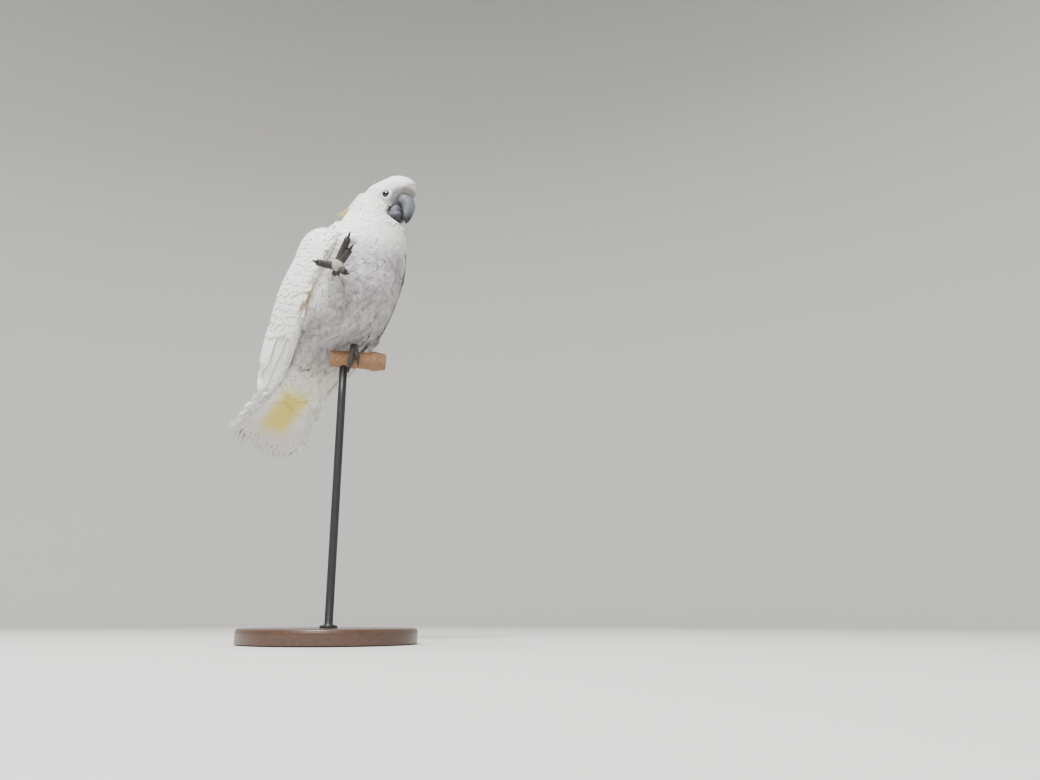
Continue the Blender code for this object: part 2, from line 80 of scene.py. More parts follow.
# Rings that fan round from the neck to the face: front end forward, up, back end forward, up, half width,
# where on the way back the ring is widest, depth of the coat
HEAD_FAN = (
    (0.0172, -0.0490, -0.0655, 0.0055, 0.0400, 0.46, 0.0040),
    (0.0070, -0.0385, -0.0545, 0.0150, 0.0340, 0.47, 0.0036),
    (0.0015, -0.0290, -0.0410, 0.0240, 0.0290, 0.50, 0.0035),
    (0.0040, -0.0205, -0.0285, 0.0325, 0.0278, 0.50, 0.0030),
    (0.0095, -0.0140, -0.0085, 0.0375, 0.0276, 0.50, 0.0028),
    (0.0175, -0.0065, 0.0080, 0.0400, 0.0264, 0.50, 0.0026),
    (0.0250, -0.0020, 0.0215, 0.0390, 0.0240, 0.50, 0.0026),
    (0.0325, 0.0000, 0.0325, 0.0345, 0.0205, 0.50, 0.0024),
    (0.0370, 0.0060, 0.0395, 0.0285, 0.0155, 0.50, 0.0022),
    (0.0405, 0.0110, 0.0430, 0.0230, 0.0090, 0.50, 0.0018),
    (0.0440, 0.0170, 0.0440, 0.0170, 0.0000, 0.50, 0.0010),
)
EYE_FORWARD, EYE_RISE = 0.0010, 0.0022  # the eyes' place from the head's centre
EYE_RADIUS = 0.0075
EYE_OUT = 0.0060  # from an eye's middle out to the middle of its bare ring
EYE_BARE = 0.0080  # no feather comes nearer to that
HEAD_LIFT = math.radians(8)  # bill up
# Bill halves along their middle line: forward, up, half width, half depth
UPPER_BILL = (
    (0.0080, 0.0030, 0.0130, 0.0120),
    (0.0166, 0.0020, 0.0142, 0.0128),
    (0.0240, -0.0036, 0.0140, 0.0124),
    (0.0272, -0.0126, 0.0124, 0.0106),
    (0.0262, -0.0222, 0.0102, 0.0088),
    (0.0240, -0.0310, 0.0072, 0.0060),
    (0.0212, -0.0378, 0.0038, 0.0032),
    (0.0198, -0.0412, 0.0003, 0.0003),
)
LOWER_BILL = (
    (-0.0050, -0.0220, 0.0124, 0.0112),
    (0.0030, -0.0252, 0.0143, 0.0126),
    (0.0090, -0.0266, 0.0140, 0.0116),
    (0.0136, -0.0268, 0.0120, 0.0088),
    (0.0168, -0.0264, 0.0088, 0.0048),
)
# Folded crest along its middle line: forward, up, half width, half depth
CREST = (
    (0.0360, 0.0290, 0.0090, 0.0025),
    (0.0230, 0.0365, 0.0120, 0.0040),
    (0.0060, 0.0385, 0.0140, 0.0045),
    (-0.0120, 0.0358, 0.0145, 0.0050),
    (-0.0280, 0.0318, 0.0135, 0.0052),
    (-0.0420, 0.0222, 0.0120, 0.0050),
    (-0.0560, 0.0118, 0.0105, 0.0045),
    (-0.0680, 0.0042, 0.0095, 0.0030),
    (-0.0800, 0.0004, 0.0080, 0.0018),
    (-0.0920, -0.0004, 0.0060, 0.0010),
)
# Tail fan: distance from the root, half width, half depth
TAIL = (
    (-0.012, 0.024, 0.0120),
    (0.028, 0.036, 0.0115),
    (0.062, 0.047, 0.0090),
    (0.096, 0.054, 0.0065),
    (0.130, 0.058, 0.0042),
    (0.150, 0.058, 0.0030),
    (0.161, 0.057, 0.0022),
    (0.168, 0.056, 0.0014),
)
TAIL_ROOT = np.array((0.000, 0.070, -0.010))
TAIL_LEAN, TAIL_ROLL, TAIL_SWING = math.radians(39), math.radians(12), math.radians(9)
TAIL_CAMBER = 0.12
# Folded wings, shoulder to tip: front edge x outwards, y, z, back edge x, y, z, bulge, thickness
WINGS = {
    1: (
        (0.052, -0.056, 0.184, 0.038, -0.012, 0.204, 0.008, 0.008),
        (0.064, -0.056, 0.164, 0.040, 0.018, 0.190, 0.018, 0.014),
        (0.0690, -0.046, 0.124, 0.036, 0.048, 0.156, 0.027, 0.013),
        (0.0695, -0.024, 0.078, 0.028, 0.068, 0.112, 0.030, 0.011),
        (0.066, 0.006, 0.032, 0.020, 0.088, 0.066, 0.026, 0.010),
        (0.055, 0.040, -0.010, 0.014, 0.103, 0.022, 0.018, 0.008),
        (0.042, 0.076, -0.042, 0.010, 0.119, -0.020, 0.010, 0.006),
        (0.027, 0.110, -0.068, 0.008, 0.131, -0.054, 0.005, 0.005),
        (0.015, 0.128, -0.082, 0.009, 0.136, -0.076, 0.001, 0.003),
    ),
    -1: (
        (0.050, -0.046, 0.161, 0.044, 0.014, 0.179, 0.008, 0.010),
        (0.070, -0.055, 0.145, 0.048, 0.044, 0.168, 0.019, 0.014),
        (0.081, -0.044, 0.112, 0.040, 0.064, 0.140, 0.023, 0.013),
        (0.082, -0.016, 0.070, 0.032, 0.088, 0.100, 0.030, 0.011),
        (0.075, 0.012, 0.030, 0.026, 0.110, 0.060, 0.033, 0.010),
        (0.065, 0.044, -0.008, 0.028, 0.130, 0.020, 0.032, 0.008),
        (0.056, 0.078, -0.038, 0.032, 0.146, -0.014, 0.025, 0.006),
        (0.052, 0.114, -0.058, 0.042, 0.152, -0.040, 0.013, 0.004),
        (0.050, 0.136, -0.065, 0.048, 0.150, -0.056, 0.002, 0.003),
    ),
}
WING_ROWS = 8
SIDES = {1: "left", -1: "right"}
MOST_TRIANGLES = 200000  # in one piece
SKIN_VOXEL, SKIN_EASING = 0.0019, 3  # how finely the skin's parts are joined, and how often eased
BILL_VOXEL, BILL_EASING = 0.0006, 14

# Legs, from the perch's top
PERCH_RADIUS = 0.013
PERCH_TURN = math.radians(-36)
PERCH_MIDDLE, PERCH_LENGTH = 0.021, 0.084  # along the branch
GAP = 0.0003
TOE_RADIUS = 0.0044
TOE_FULLNESS = {1: 1.04, -1: 1.36}  # of the flesh, in toe radii
SHANK_RADIUS = 0.0062
CLAW_LENGTH, CLAW_RADIUS = 0.014, 0.0027
LEFT_FOOT_ALONG = 0.0135
ANKLES = {1: np.array((0.0155, -0.005, 0.0170)), -1: np.array((-0.064, -0.052, 0.082))}
HIPS = {1: np.array((0.028, -0.002, 0.049)), -1: np.array((-0.038, -0.010, 0.050))}
THIGH_RADIUS = {1: 0.030, -1: 0.031}
THIGH_TAPER = (1.0, 0.97, 0.92, 0.82, 0.68, 0.51, 0.34)
RIGHT_PALM = np.array((-0.074, -0.068, 0.098))
SOLE_FACING = np.array((-0.56, -0.80, -0.22)) / np.linalg.norm((-0.56, -0.80, -0.22))
# Toes: name, length, turn on the perch from straight forward, turn in the open foot from straight up
TOES = (
    ("inner_front", 0.030, 14, 36),
    ("outer_front", 0.044, -8, 18),
    ("outer_back", 0.032, 190, -92),
    ("inner_back", 0.018, 166, 130),
)


# ---------------------------------------------------------------- numbers and curves
def unit(v):
    return v / np.maximum(np.linalg.norm(v, axis=-1, keepdims=True), 1e-12)


def smoothstep(low, high, x):
    t = np.clip((x - low) / (high - low), 0, 1)
    return t * t * (3 - 2 * t)


def bump(x, centre, spread):
    """A bell, 1 at the centre."""
    return np.exp(-((x - centre) / spread) ** 2)


def curve(table, at):
    """Catmull-Rom curve through the rows of a table at row numbers that may be fractions, carried on in a
    straight line past its ends."""
    last = len(table) - 1
    held = np.clip(at, 0, last)
    i = np.minimum(held.astype(int), last - 1)
    t = (held - i)[..., None]
    a, b, c, d = (table[np.clip(i + k, 0, last)] for k in (-1, 0, 1, 2))
    inside = b + 0.5 * t * (c - a + t * (2 * a - 5 * b + 4 * c - d + t * (3 * (b - c) + d - a)))
    past = (at - held)[..., None]
    return inside + np.where(past < 0, past * (table[1] - table[0]), past * (table[-1] - table[-2]))


def turn_about(axis, angle):
    """Rotation matrix about an axis, by Rodrigues' formula."""
    x, y, z = axis
    cross = np.array(((0, -z, y), (z, 0, -x), (-y, x, 0)))
    return np.eye(3) + math.sin(angle) * cross + (1 - math.cos(angle)) * cross @ cross


def middle(node):
    low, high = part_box(node)
    return (np.array(low) + np.array(high)) / 2


# ---------------------------------------------------------------- the bird's own axes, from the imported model
EYES = {1: middle("eye_left"), -1: middle("eye_right")}
HEAD_LEFT = unit(EYES[1] - EYES[-1])
LEVEL = np.array((HEAD_LEFT[1], -HEAD_LEFT[0], 0.0))
UP = np.array((0.0, 0.0, 1.0))
HEAD_AHEAD = LEVEL * math.cos(HEAD_LIFT) + UP * math.sin(HEAD_LIFT)
HEAD_UP = UP * math.cos(HEAD_LIFT) - LEVEL * math.sin(HEAD_LIFT)
HEAD_CENTRE = (EYES[1] + EYES[-1]) / 2 - EYE_FORWARD * HEAD_AHEAD - EYE_RISE * HEAD_UP
PERCH_TOP = middle("perch")[2] + PERCH_RADIUS
ORIGIN = np.array((0.0, 0.0, PERCH_TOP))


def in_head(ahead, left, up):
    """Points given along the head's own axes."""
    ahead, left, up = np.broadcast_arrays(ahead, left, up)
    return HEAD_CENTRE + ahead[..., None] * HEAD_AHEAD + left[..., None] * HEAD_LEFT + up[..., None] * HEAD_UP


def to_head(points):
    away = points - HEAD_CENTRE
    return away @ HEAD_AHEAD, away @ HEAD_LEFT, away @ HEAD_UP


def tail_axes():
    """The fan's own frame: along it, to its left and out of its upper side."""
    lean_back = turn_about((1, 0, 0), TAIL_LEAN)
    along, above = lean_back @ np.array((0, 0, -1.0)), lean_back @ np.array((0, 1.0, 0))
    roll = turn_about(along, TAIL_ROLL)
    swing = turn_about(roll @ above, TAIL_SWING)
    return swing @ along, swing @ roll @ np.array((1.0, 0, 0)), roll @ above


TAIL_ALONG, TAIL_SIDE, TAIL_ABOVE = tail_axes()
TAIL_STEPS = np.array([row[0] for row in TAIL])


def body_table():
    """One row for each ring of the body: centre, reach to the left, reach forward, reach back, coat depth."""
    rows = np.array(COLUMN)
    centre = rows[:, :3] + ORIGIN
    turn = np.radians(rows[:, 6])
    side = np.stack((np.cos(turn), np.sin(turn), 0 * turn), 1)
    along = unit(np.gradient(centre, axis=0))
    across = unit(np.cross(along, side))
    column = np.hstack((
        centre, side * rows[:, 3:4], -across * rows[:, 4:5], across * rows[:, 5:6], rows[:, 7:8],
    ))
    covers = np.array(COVERTS)
    dock = np.hstack((
        TAIL_ROOT + ORIGIN + covers[:, :1] * TAIL_ALONG, TAIL_SIDE * covers[:, 1:2],
        -TAIL_ABOVE * covers[:, 2:3], TAIL_ABOVE * covers[:, 3:4], covers[:, 4:5],
    ))
    fan = np.array(HEAD_FAN)
    front, back = in_head(fan[:, 0], 0.0, fan[:, 1]), in_head(fan[:, 2], 0.0, fan[:, 3])
    widest = front + (back - front) * fan[:, 5:6]
    head = np.hstack((widest, HEAD_LEFT * fan[:, 4:5], front - widest, back - widest, fan[:, 6:7]))
    return np.vstack((dock, column, head))


BODY = body_table()
BODY_TOP = len(BODY) - 1.0
DOCK_END = 4.0  # the row where the flesh under the tail coverts ends


def body(u, a):
    """Tips of the coat. A ring's point is its centre, plus its reach to the left times sin a, plus its reach
    forward or back times cos a. Rows rise from the tail end to the face."""
    row = curve(BODY, u)
    aside, ahead = np.sin(a)[..., None], np.cos(a)[..., None]
    point = row[..., :3] + row[..., 3:6] * aside
    return point + row[..., 6:9] * np.maximum(ahead, 0) + row[..., 9:12] * np.maximum(-ahead, 0)


def lean(surface, u, a, step=2e-3):
    """A surface's points, its two tangents, and its outward normal."""
    along = (surface(u + step, a) - surface(u - step, a)) / (2 * step)
    around = (surface(u, a + step) - surface(u, a - step)) / (2 * step)
    return surface(u, a), along, around, unit(np.cross(around, along))


def coat_depth(u):
    return curve(BODY, u)[..., 12]


def skin_of_body(u, a):
    """The body under its coat: the coat's tips drawn in along the normal by the coat's depth."""
    points, _, _, normal = lean(body, np.clip(u, 0.05, BODY_TOP - 0.02), a)
    held = (u >= 0.05) & (u <= BODY_TOP - 0.02)
    return np.where(held[..., None], points, body(u, a)) - normal * coat_depth(u)[..., None]


def thigh(side):
    """A thigh under its coat, as a tapering tube. u runs from the ankle, 0, to the hip, 6."""
    taper = np.array(THIGH_TAPER[::-1])[:, None] * THIGH_RADIUS[side] - 0.0035
    along = unit(HIPS[side] - ANKLES[side])
    first = unit(np.cross(along, np.array((0.3, 1.0, 0.1))))
    second = np.cross(along, first)

    def surface(u, a):
        radius = curve(taper, u)[..., 0][..., None]
        middle_line = ANKLES[side] + ORIGIN + (HIPS[side] - ANKLES[side]) * (u / 6)[..., None]
        return middle_line + radius * (first * np.sin(a)[..., None] - second * np.cos(a)[..., None])

    return surface


def wing_edges(side, u):
    """Front edge, back edge, bulge and thickness of a folded wing at a height u, 0 at its tip."""
    row = curve(np.array(WINGS[side])[::-1], u)
    flip = np.array((side, 1, 1))
    return row[..., :3] * flip + ORIGIN, row[..., 3:6] * flip + ORIGIN, row[..., 6:7], row[..., 7:8]


def wing_down(side, u):
    """The way a folded wing runs towards its tip, read over a short stretch."""
    lower, upper = wing_edges(side, u - 0.16), wing_edges(side, u + 0.16)
    return unit(lower[0] + lower[1] - upper[0] - upper[1])


def wing(side, level):
    """A sheet in a folded wing: from the front edge to the back edge it bulges outwards as a parabola.
    level is its place in the wing's thickness, -1 inside and 1 outside. The second parameter runs over
    0..1, negative on the right wing, so that the normal points out on both."""

    def surface(u, a):
        v = (a * side)[..., None]
        front, back, bulge, thick = wing_edges(side, u)
        out = unit(np.cross(wing_down(side, u), back - front)) * side
        depth = 0.5 * thick * np.sqrt(np.clip(1 - (2 * v - 1) ** 4, 0, 1))
        return front + (back - front) * v + out * (4 * bulge * v * (1 - v) + level * depth)

    return surface


def wing_core(side):
    """The wing's own flesh and quills: a closed flat tube in the middle of its thickness."""

    def surface(u, a):
        v = 0.5 - 0.46 * np.cos(a)
        outer, inner = wing(side, 0.25)(u, v * side), wing(side, -0.55)(u, v * side)
        return inner + (outer - inner) * (0.5 + 0.5 * np.sin(a)[..., None])

    return surface


def tail(level, facing):
    """A sheet in the tail: u is 1 at its root and 0 at its tip, a is -1 to 1 across. Its sides drop as a
    square. facing is 1 for the upper side and -1 for the under side, where the second parameter runs the
    other way."""
    sizes = np.array([row[1:] for row in TAIL])

    def surface(u, a):
        distance = TAIL_STEPS[-1] * (1 - u) + TAIL_STEPS[0] * u
        row_at = np.interp(distance, TAIL_STEPS, np.arange(len(TAIL_STEPS), dtype=float))
        half_width, half_depth = np.moveaxis(curve(sizes, row_at), -1, 0)
        w = -a * facing
        lift = level * half_depth * np.sqrt(np.clip(1 - w ** 2, 0, 1)) - TAIL_CAMBER * half_width * w ** 2
        return (
            TAIL_ROOT + ORIGIN + distance[..., None] * TAIL_ALONG
            + (w * half_width)[..., None] * TAIL_SIDE + lift[..., None] * TAIL_ABOVE
        )

    return surface


def crest(u, a):
    """The folded crest's upper face: u is 9 at the forehead and 0 at the tips, a is -1 to 1 across."""
    forward, up, half_width, half_depth = np.moveaxis(curve(np.array(CREST)[::-1], u), -1, 0)
    return in_head(forward, half_width * a, up + half_depth * (1 - a * a) - 0.002)


# ---------------------------------------------------------------- meshes
def turn_steps(columns):
    """Even angles once round, without the last, which is the first again."""
    return np.linspace(0, 2 * math.pi, columns, endpoint=False)


def ball_steps(rows, columns):
    """Angles up a ball from pole to pole, both left out, and angles round it."""
    return np.linspace(-math.pi / 2, math.pi / 2, rows)[1:-1, None], turn_steps(columns)


def stacked(*parts):
    """Points from arrays of their numbers, each stretched over the others."""
    return np.stack(np.broadcast_arrays(*parts), -1)


def path_length(points):
    return np.linalg.norm(np.diff(points, axis=-2), axis=-1).sum(-1)


def grid(surface, ends, rows, columns):
    """Points of a closed tube's surface."""
    return surface(*np.meshgrid(np.linspace(*ends, rows), turn_steps(columns), indexing="ij"))


def grid_faces(rows, columns):
    """Triangles of a grid closed round its columns, which run anticlockwise from outside as rows rise."""
    k = np.arange(rows * columns).reshape(rows, columns)
    k = np.hstack((k, k[:, :1]))
    a, b, c, d = k[:-1, :-1].ravel(), k[:-1, 1:].ravel(), k[1:, 1:].ravel(), k[1:, :-1].ravel()
    return np.vstack((np.stack((a, b, c), 1), np.stack((a, c, d), 1)))


def cap_faces(ring, centre, flip):
    """A fan that closes a ring at a point."""
    after = np.roll(ring, -1)
    fan = np.stack((ring, after, np.full_like(ring, centre)), 1)
    return fan[:, ::-1] if flip else fan


def tube(points):
    """Vertices and triangles of a closed tube from a (rows, columns, 3) grid of rings, with a point at each
    end in the middle of its last ring."""
    rows, columns = points.shape[:2]
    ends = np.stack((points[0].mean(0), points[-1].mean(0)))
    vertices = np.vstack((points.reshape(-1, 3), ends))
    first = np.arange(columns)
    last = first + (rows - 1) * columns
    faces = np.vstack((
        grid_faces(rows, columns),
        cap_faces(first, rows * columns, True),
        cap_faces(last, rows * columns + 1, False),
    ))
    return vertices, faces


def outward(vertices, faces):
    """Turns a closed mesh's faces over if they enclose a negative volume."""
    p, q, r = (vertices[faces[:, i]] - vertices.mean(0) for i in range(3))
    volume = (p * np.cross(q, r)).sum()
    return vertices, faces if volume > 0 else faces[:, ::-1]


def torus_faces(rows, columns):
    """Triangles of a grid that closes on itself both ways."""
    a = np.arange(rows * columns).reshape(rows, columns)
    b, d = np.roll(a, -1, 1), np.roll(a, -1, 0)
    a, b, c, d = (corner.ravel() for corner in (a, b, np.roll(d, -1, 1), d))
    return np.vstack((np.stack((a, b, c), 1), np.stack((a, c, d), 1)))


def merge(parts):
    """Several closed (vertices, triangles) as one, each facing outwards."""
    parts = [outward(*part) for part in parts]
    starts = np.cumsum([0] + [len(v) for v, _ in parts[:-1]])
    return np.vstack([v for v, _ in parts]), np.vstack([f + s for (_, f), s in zip(parts, starts)])


def make_object(name, vertices, faces, material, smooth=None, maps=None, colours=None):
    """A mesh object at the origin, with its UV maps and its colour attribute given for each vertex."""
    if len(faces) > MOST_TRIANGLES:
        raise RuntimeError(f"{name} has {len(faces)} triangles")
    mesh = bpy.data.meshes.new(name)
    mesh.vertices.add(len(vertices))
    mesh.vertices.foreach_set("co", vertices.astype(np.float32).ravel())
    mesh.loops.add(faces.size)
    mesh.loops.foreach_set("vertex_index", faces.astype(np.int32).ravel())
    mesh.polygons.add(len(faces))
    mesh.polygons.foreach_set("loop_start", np.arange(0, faces.size, 3, dtype=np.int32))
    mesh.update(calc_edges=True)
    shading = np.ones(len(faces), bool) if smooth is None else smooth
    mesh.polygons.foreach_set("use_smooth", shading)
    for label, places in (maps or {}).items():
        layer = mesh.uv_layers.new(name=label)
        layer.uv.foreach_set("vector", places[faces.ravel()].astype(np.float32).ravel())
    if colours is not None:
        attribute = mesh.color_attributes.new(name="Plumage", type="FLOAT_COLOR", domain="POINT")
        opaque = np.hstack((colours, np.ones((len(colours), 1)))).astype(np.float32)
        attribute.data.foreach_set("color", opaque.ravel())
    mesh.materials.append(material)
    if mesh.validate():
        raise RuntimeError(f"the mesh of {name} has faults")
    made = bpy.data.objects.new(name, mesh)
    bpy.context.scene.collection.objects.link(made)
    return made


def knit(context, parts, material, voxel, rounds):
    """Joins closed meshes that run into each other into one surface, and eases the seams away."""
    rough = make_object("parts", *merge(parts), material)
    rough.modifiers.new("Knit", "REMESH").voxel_size = voxel
    rough.modifiers.new("Ease", "SMOOTH").iterations = rounds
    solved = rough.evaluated_get(context.evaluated_depsgraph_get())
    made = solved.to_mesh()
    vertices = np.empty(len(made.vertices) * 3, np.float32)
    made.vertices.foreach_get("co", vertices)
    made.calc_loop_triangles()
    faces = np.empty(len(made.loop_triangles) * 3, np.int32)
    made.loop_triangles.foreach_get("vertices", faces)
    solved.to_mesh_clear()
    bpy.data.objects.remove(rough)
    return vertices.reshape(-1, 3).astype(float), faces.reshape(-1, 3)


def solid(name, points, material):
    """A closed tube from a grid of rings, as an object."""
    return make_object(name, *outward(*tube(points)), material)


def on_body(piece, slot, *nodes):
    """A finished piece rides on the model's one body, and stands for the nodes named."""
    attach(piece, "root")
    if nodes:
        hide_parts(*nodes)


# ---------------------------------------------------------------- materials
def linear(colour):
    """A linear colour from an sRGB hex value such as "#f2f0ec"."""
    parts = [int(colour[i:i + 2], 16) / 255 for i in (1, 3, 5)]
    return np.array([c / 12.92 if c <= 0.04045 else ((c + 0.055) / 1.055) ** 2.4 for c in parts])


def rgba(colour):
    return (*linear(colour), 1.0)


def add(tree, kind, inputs=None, **settings):
    """A node with its settings, and its inputs set, or linked where a socket is given. A node stands for
    its first output. Sockets that share a name go by number: a Mix takes its share at 0 and its colours at
    6 and 7 and gives output 2, a Map Range goes from 1..2 to 3..4, and a Math node takes 0, 1 and 2."""
    made = tree.nodes.new("ShaderNode" + kind)
    for name, value in settings.items():
        setattr(made, name, value)
    for name, value in (inputs or {}).items():
        value = value.outputs[0] if isinstance(value, bpy.types.Node) else value
        if isinstance(value, bpy.types.NodeSocket):
            tree.links.new(value, made.inputs[name])
        else:
            made.inputs[name].default_value = value
    return made


def new_material(name, **constants):
    """A material with its Principled shader's constants set, and its node tree."""
    made = bpy.data.materials.new(name)
    made.use_nodes = True
    shader = made.node_tree.nodes["Principled BSDF"]
    for label, value in constants.items():
        shader.inputs[label.replace("_", " ")].default_value = value
    return made, made.node_tree, shader


def cloud(tree, size, detail=3.0, stretch=(1, 1, 1), turn=0.0, distortion=0.0):
    """A cloudy pattern whose largest spots are about size metres across, on Object coordinates, turned about
    the upright."""
    place = add(tree, "TexCoord").outputs["Object"]
    mapped = add(tree, "Mapping", {"Vector": place, "Rotation": (0, 0, turn), "Scale": stretch})
    settings = {"Vector": mapped, "Scale": 1 / size, "Detail": detail, "Distortion": distortion}
    return add(tree, "TexNoise", settings)


def dress(tree, shader, height, distance, strength, colour=None):
    """Puts a pattern's relief on a shader, and its colour where it has one."""
    raised = add(tree, "Bump", {"Height": height, "Distance": distance, "Strength": strength})
    tree.links.new(raised.outputs[0], shader.inputs["Normal"])
    if colour:
        tree.links.new(colour, shader.inputs["Base Color"])


def feather_material(name, barb_mm=0.9):
    """Feather keratin: matt, soft and slightly sheeny. Barbs leave the shaft at a slant, and are drawn at
    more than their real 0.4 mm so that they show. The Vane map counts centimetres across and along each
    vane."""
    made, tree, shader = new_material(name, Roughness=0.78, Sheen_Weight=0.25, Sheen_Roughness=0.5, IOR=1.54,
                                      Specular_IOR_Level=0.25)
    vane = add(tree, "SeparateXYZ", {0: add(tree, "UVMap", uv_map="Vane")})
    across = add(tree, "Math", {0: vane}, operation="ABSOLUTE")
    slant = add(tree, "Math", {0: across, 1: -1.3, 2: vane.outputs[1]}, operation="MULTIPLY_ADD")
    phase = add(tree, "Math", {0: slant, 1: 2 * math.pi * 10 / barb_mm}, operation="MULTIPLY")
    wave = add(tree, "Math", {0: phase}, operation="SINE")
    barbs = add(tree, "Math", {0: wave, 1: 0.5, 2: 0.5}, operation="MULTIPLY_ADD")
    off_shaft = add(tree, "Math", {0: across, 1: 14.0}, operation="MULTIPLY")
    shaft = add(tree, "Math", {0: 1.0, 1: off_shaft}, operation="SUBTRACT")
    shaft = add(tree, "Math", {0: shaft, 1: 0.0}, operation="MAXIMUM")
    tone = add(tree, "MapRange", {0: cloud(tree, 0.02, 4.0), 1: 0.3, 2: 0.7, 3: 0.93})
    # Painted shade: the grooves between the barbs 5% darker
    groove_shade = add(tree, "Math", {0: barbs, 1: 0.05, 2: 0.95}, operation="MULTIPLY_ADD")
    tone = add(tree, "Math", {0: tone, 1: groove_shade}, operation="MULTIPLY")
    grey = add(tree, "CombineColor", {0: tone, 1: tone, 2: tone})
    colour = add(tree, "Mix", {0: 1.0, 6: add(tree, "VertexColor", layer_name="Plumage"), 7: grey},
                 data_type="RGBA", blend_type="MULTIPLY")
    raised = add(tree, "Math", {0: shaft, 1: 2.0}, operation="MULTIPLY")
    height = add(tree, "Math", {0: barbs, 1: raised}, operation="ADD")
    dress(tree, shader, height, 0.00012, 0.6, colour.outputs[2])
    return made


# ---------------------------------------------------------------- feathers
# Outline of a contour feather: share of its length, share of its half width
BODY_OUTLINE = np.array((
    (0, 0.18), (0.18, 0.55), (0.40, 0.86), (0.62, 1.0), (0.80, 0.95), (0.92, 0.72), (1.0, 0.36),
))
SMALL_OUTLINE = np.array(((0, 0.25), (0.35, 0.85), (0.70, 1.0), (1.0, 0.45)))
HEAD_OUTLINE = np.array(((0, 0.22), (0.25, 0.70), (0.50, 0.96), (0.72, 1.0), (0.90, 0.78), (1.0, 0.42)))
# Wisp of down: a thin drawn-out lock
WISP_OUTLINE = np.array(((0, 0.4), (0.2, 0.9), (0.45, 1.0), (0.7, 0.7), (0.88, 0.35), (1.0, 0.06)))
BAKE_PATCH = 0.003  # width of a feather's place on the unwrap
OVERLAP = 0.40  # how far apart rows stand, in feather lengths
LAYER = 0.0009  # most that one layer of contour feathers lifts the next


def flight_outline(t):
    """Quill, long even vane, rounded end."""
    return np.stack((t, np.clip(0.30 + 3.2 * t, 0, 1) * np.sqrt(np.clip(1 - t ** 9, 0.03, 1))), 1)


def crest_outline(t):
    """Narrow, widest past its middle, drawn out to a soft point."""
    root = 0.25 + 0.75 * np.sin(math.pi * np.minimum(1, t * 0.62 + 0.13))
    tip = np.maximum(0.07, 1.0 - (np.maximum(t - 0.6, 0) / 0.43) ** 1.7)
    return np.stack((t, np.where(t < 0.6, root, tip)), 1)


FLIGHT_OUTLINE = flight_outline(np.linspace(0, 1, 25))
CREST_OUTLINE = crest_outline(np.linspace(0, 1, 15))


def vane_faces(rows, columns):
    """Triangles of one closed vane: its upper face, one strip beneath, its root and its tip, and which of
    them are the smooth upper ones."""
    k = np.arange(rows * columns).reshape(rows, columns)
    a, b, c, d = k[:-1, :-1].ravel(), k[:-1, 1:].ravel(), k[1:, 1:].ravel(), k[1:, :-1].ravel()
    l0, r0, l1, r1 = k[:-1, 0], k[:-1, -1], k[1:, 0], k[1:, -1]
    j = np.arange(1, columns - 1)
    first, last = np.full_like(j, k[0, 0]), np.full_like(j, k[-1, 0])
    corners = ((a, d, c), (a, c, b), (l0, r0, r1), (l0, r1, l1), (first, k[0, j], k[0, j + 1]),
               (last, k[-1, j + 1], k[-1, j]))
    faces = np.vstack([np.stack(three, 1) for three in corners])
    return faces, np.arange(len(faces)) < 2 * len(a)


def to_params(along, around, step):
    """The change of both parameters that moves a point by a step in the tangent plane."""
    uu, ua, aa = (along * along).sum(-1), (along * around).sum(-1), (around * around).sum(-1)
    su, sa = (step * along).sum(-1), (step * around).sum(-1)
    det = np.maximum(uu * aa - ua * ua, 1e-14)
    return (su * aa - sa * ua) / det, (sa * uu - su * ua) / det


def march(surface, u, a, length, heading, shares):
    """Middle lines of feathers: each leaves its root towards the tail and follows the surface, turned by its
    heading, one step for each share of its length."""
    line_u, line_a = [u], [a]
    for step in np.diff(shares):
        _, along, around, normal = lean(surface, u, a)
        down = -unit(along)
        way = down * np.cos(heading)[:, None] + np.cross(normal, down) * np.sin(heading)[:, None]
        du, da = to_params(along, around, way * (length * step)[:, None])
        u, a = u + np.clip(du, -1.2, 1.2), a + np.clip(da, -0.8, 0.8)
        line_u.append(u)
        line_a.append(a)
    return np.stack(line_u, 1), np.stack(line_a, 1)


def follows(surface, line_u, line_a, length):
    """Which middle lines kept to their length, and did not double back where a surface bunches up."""
    points = surface(line_u, line_a)
    walked, ways = path_length(points), unit(np.diff(points, axis=1))
    turns = (ways[:, 1:] * ways[:, :-1]).sum(-1).min(1)
    return (walked > 0.6 * length) & (walked < 1.45 * length) & (turns > 0.05)


def laid_lines(surface, u, a, length, heading, outline, *others):
    """The middle lines that follow their surface, with their lengths and what else is known of each."""
    line_u, line_a = march(surface, u, a, length, heading, outline[:, 0])
    good = follows(surface, line_u, line_a, length)
    return line_u[good], line_a[good], length[good], *(known[good] for known in others)


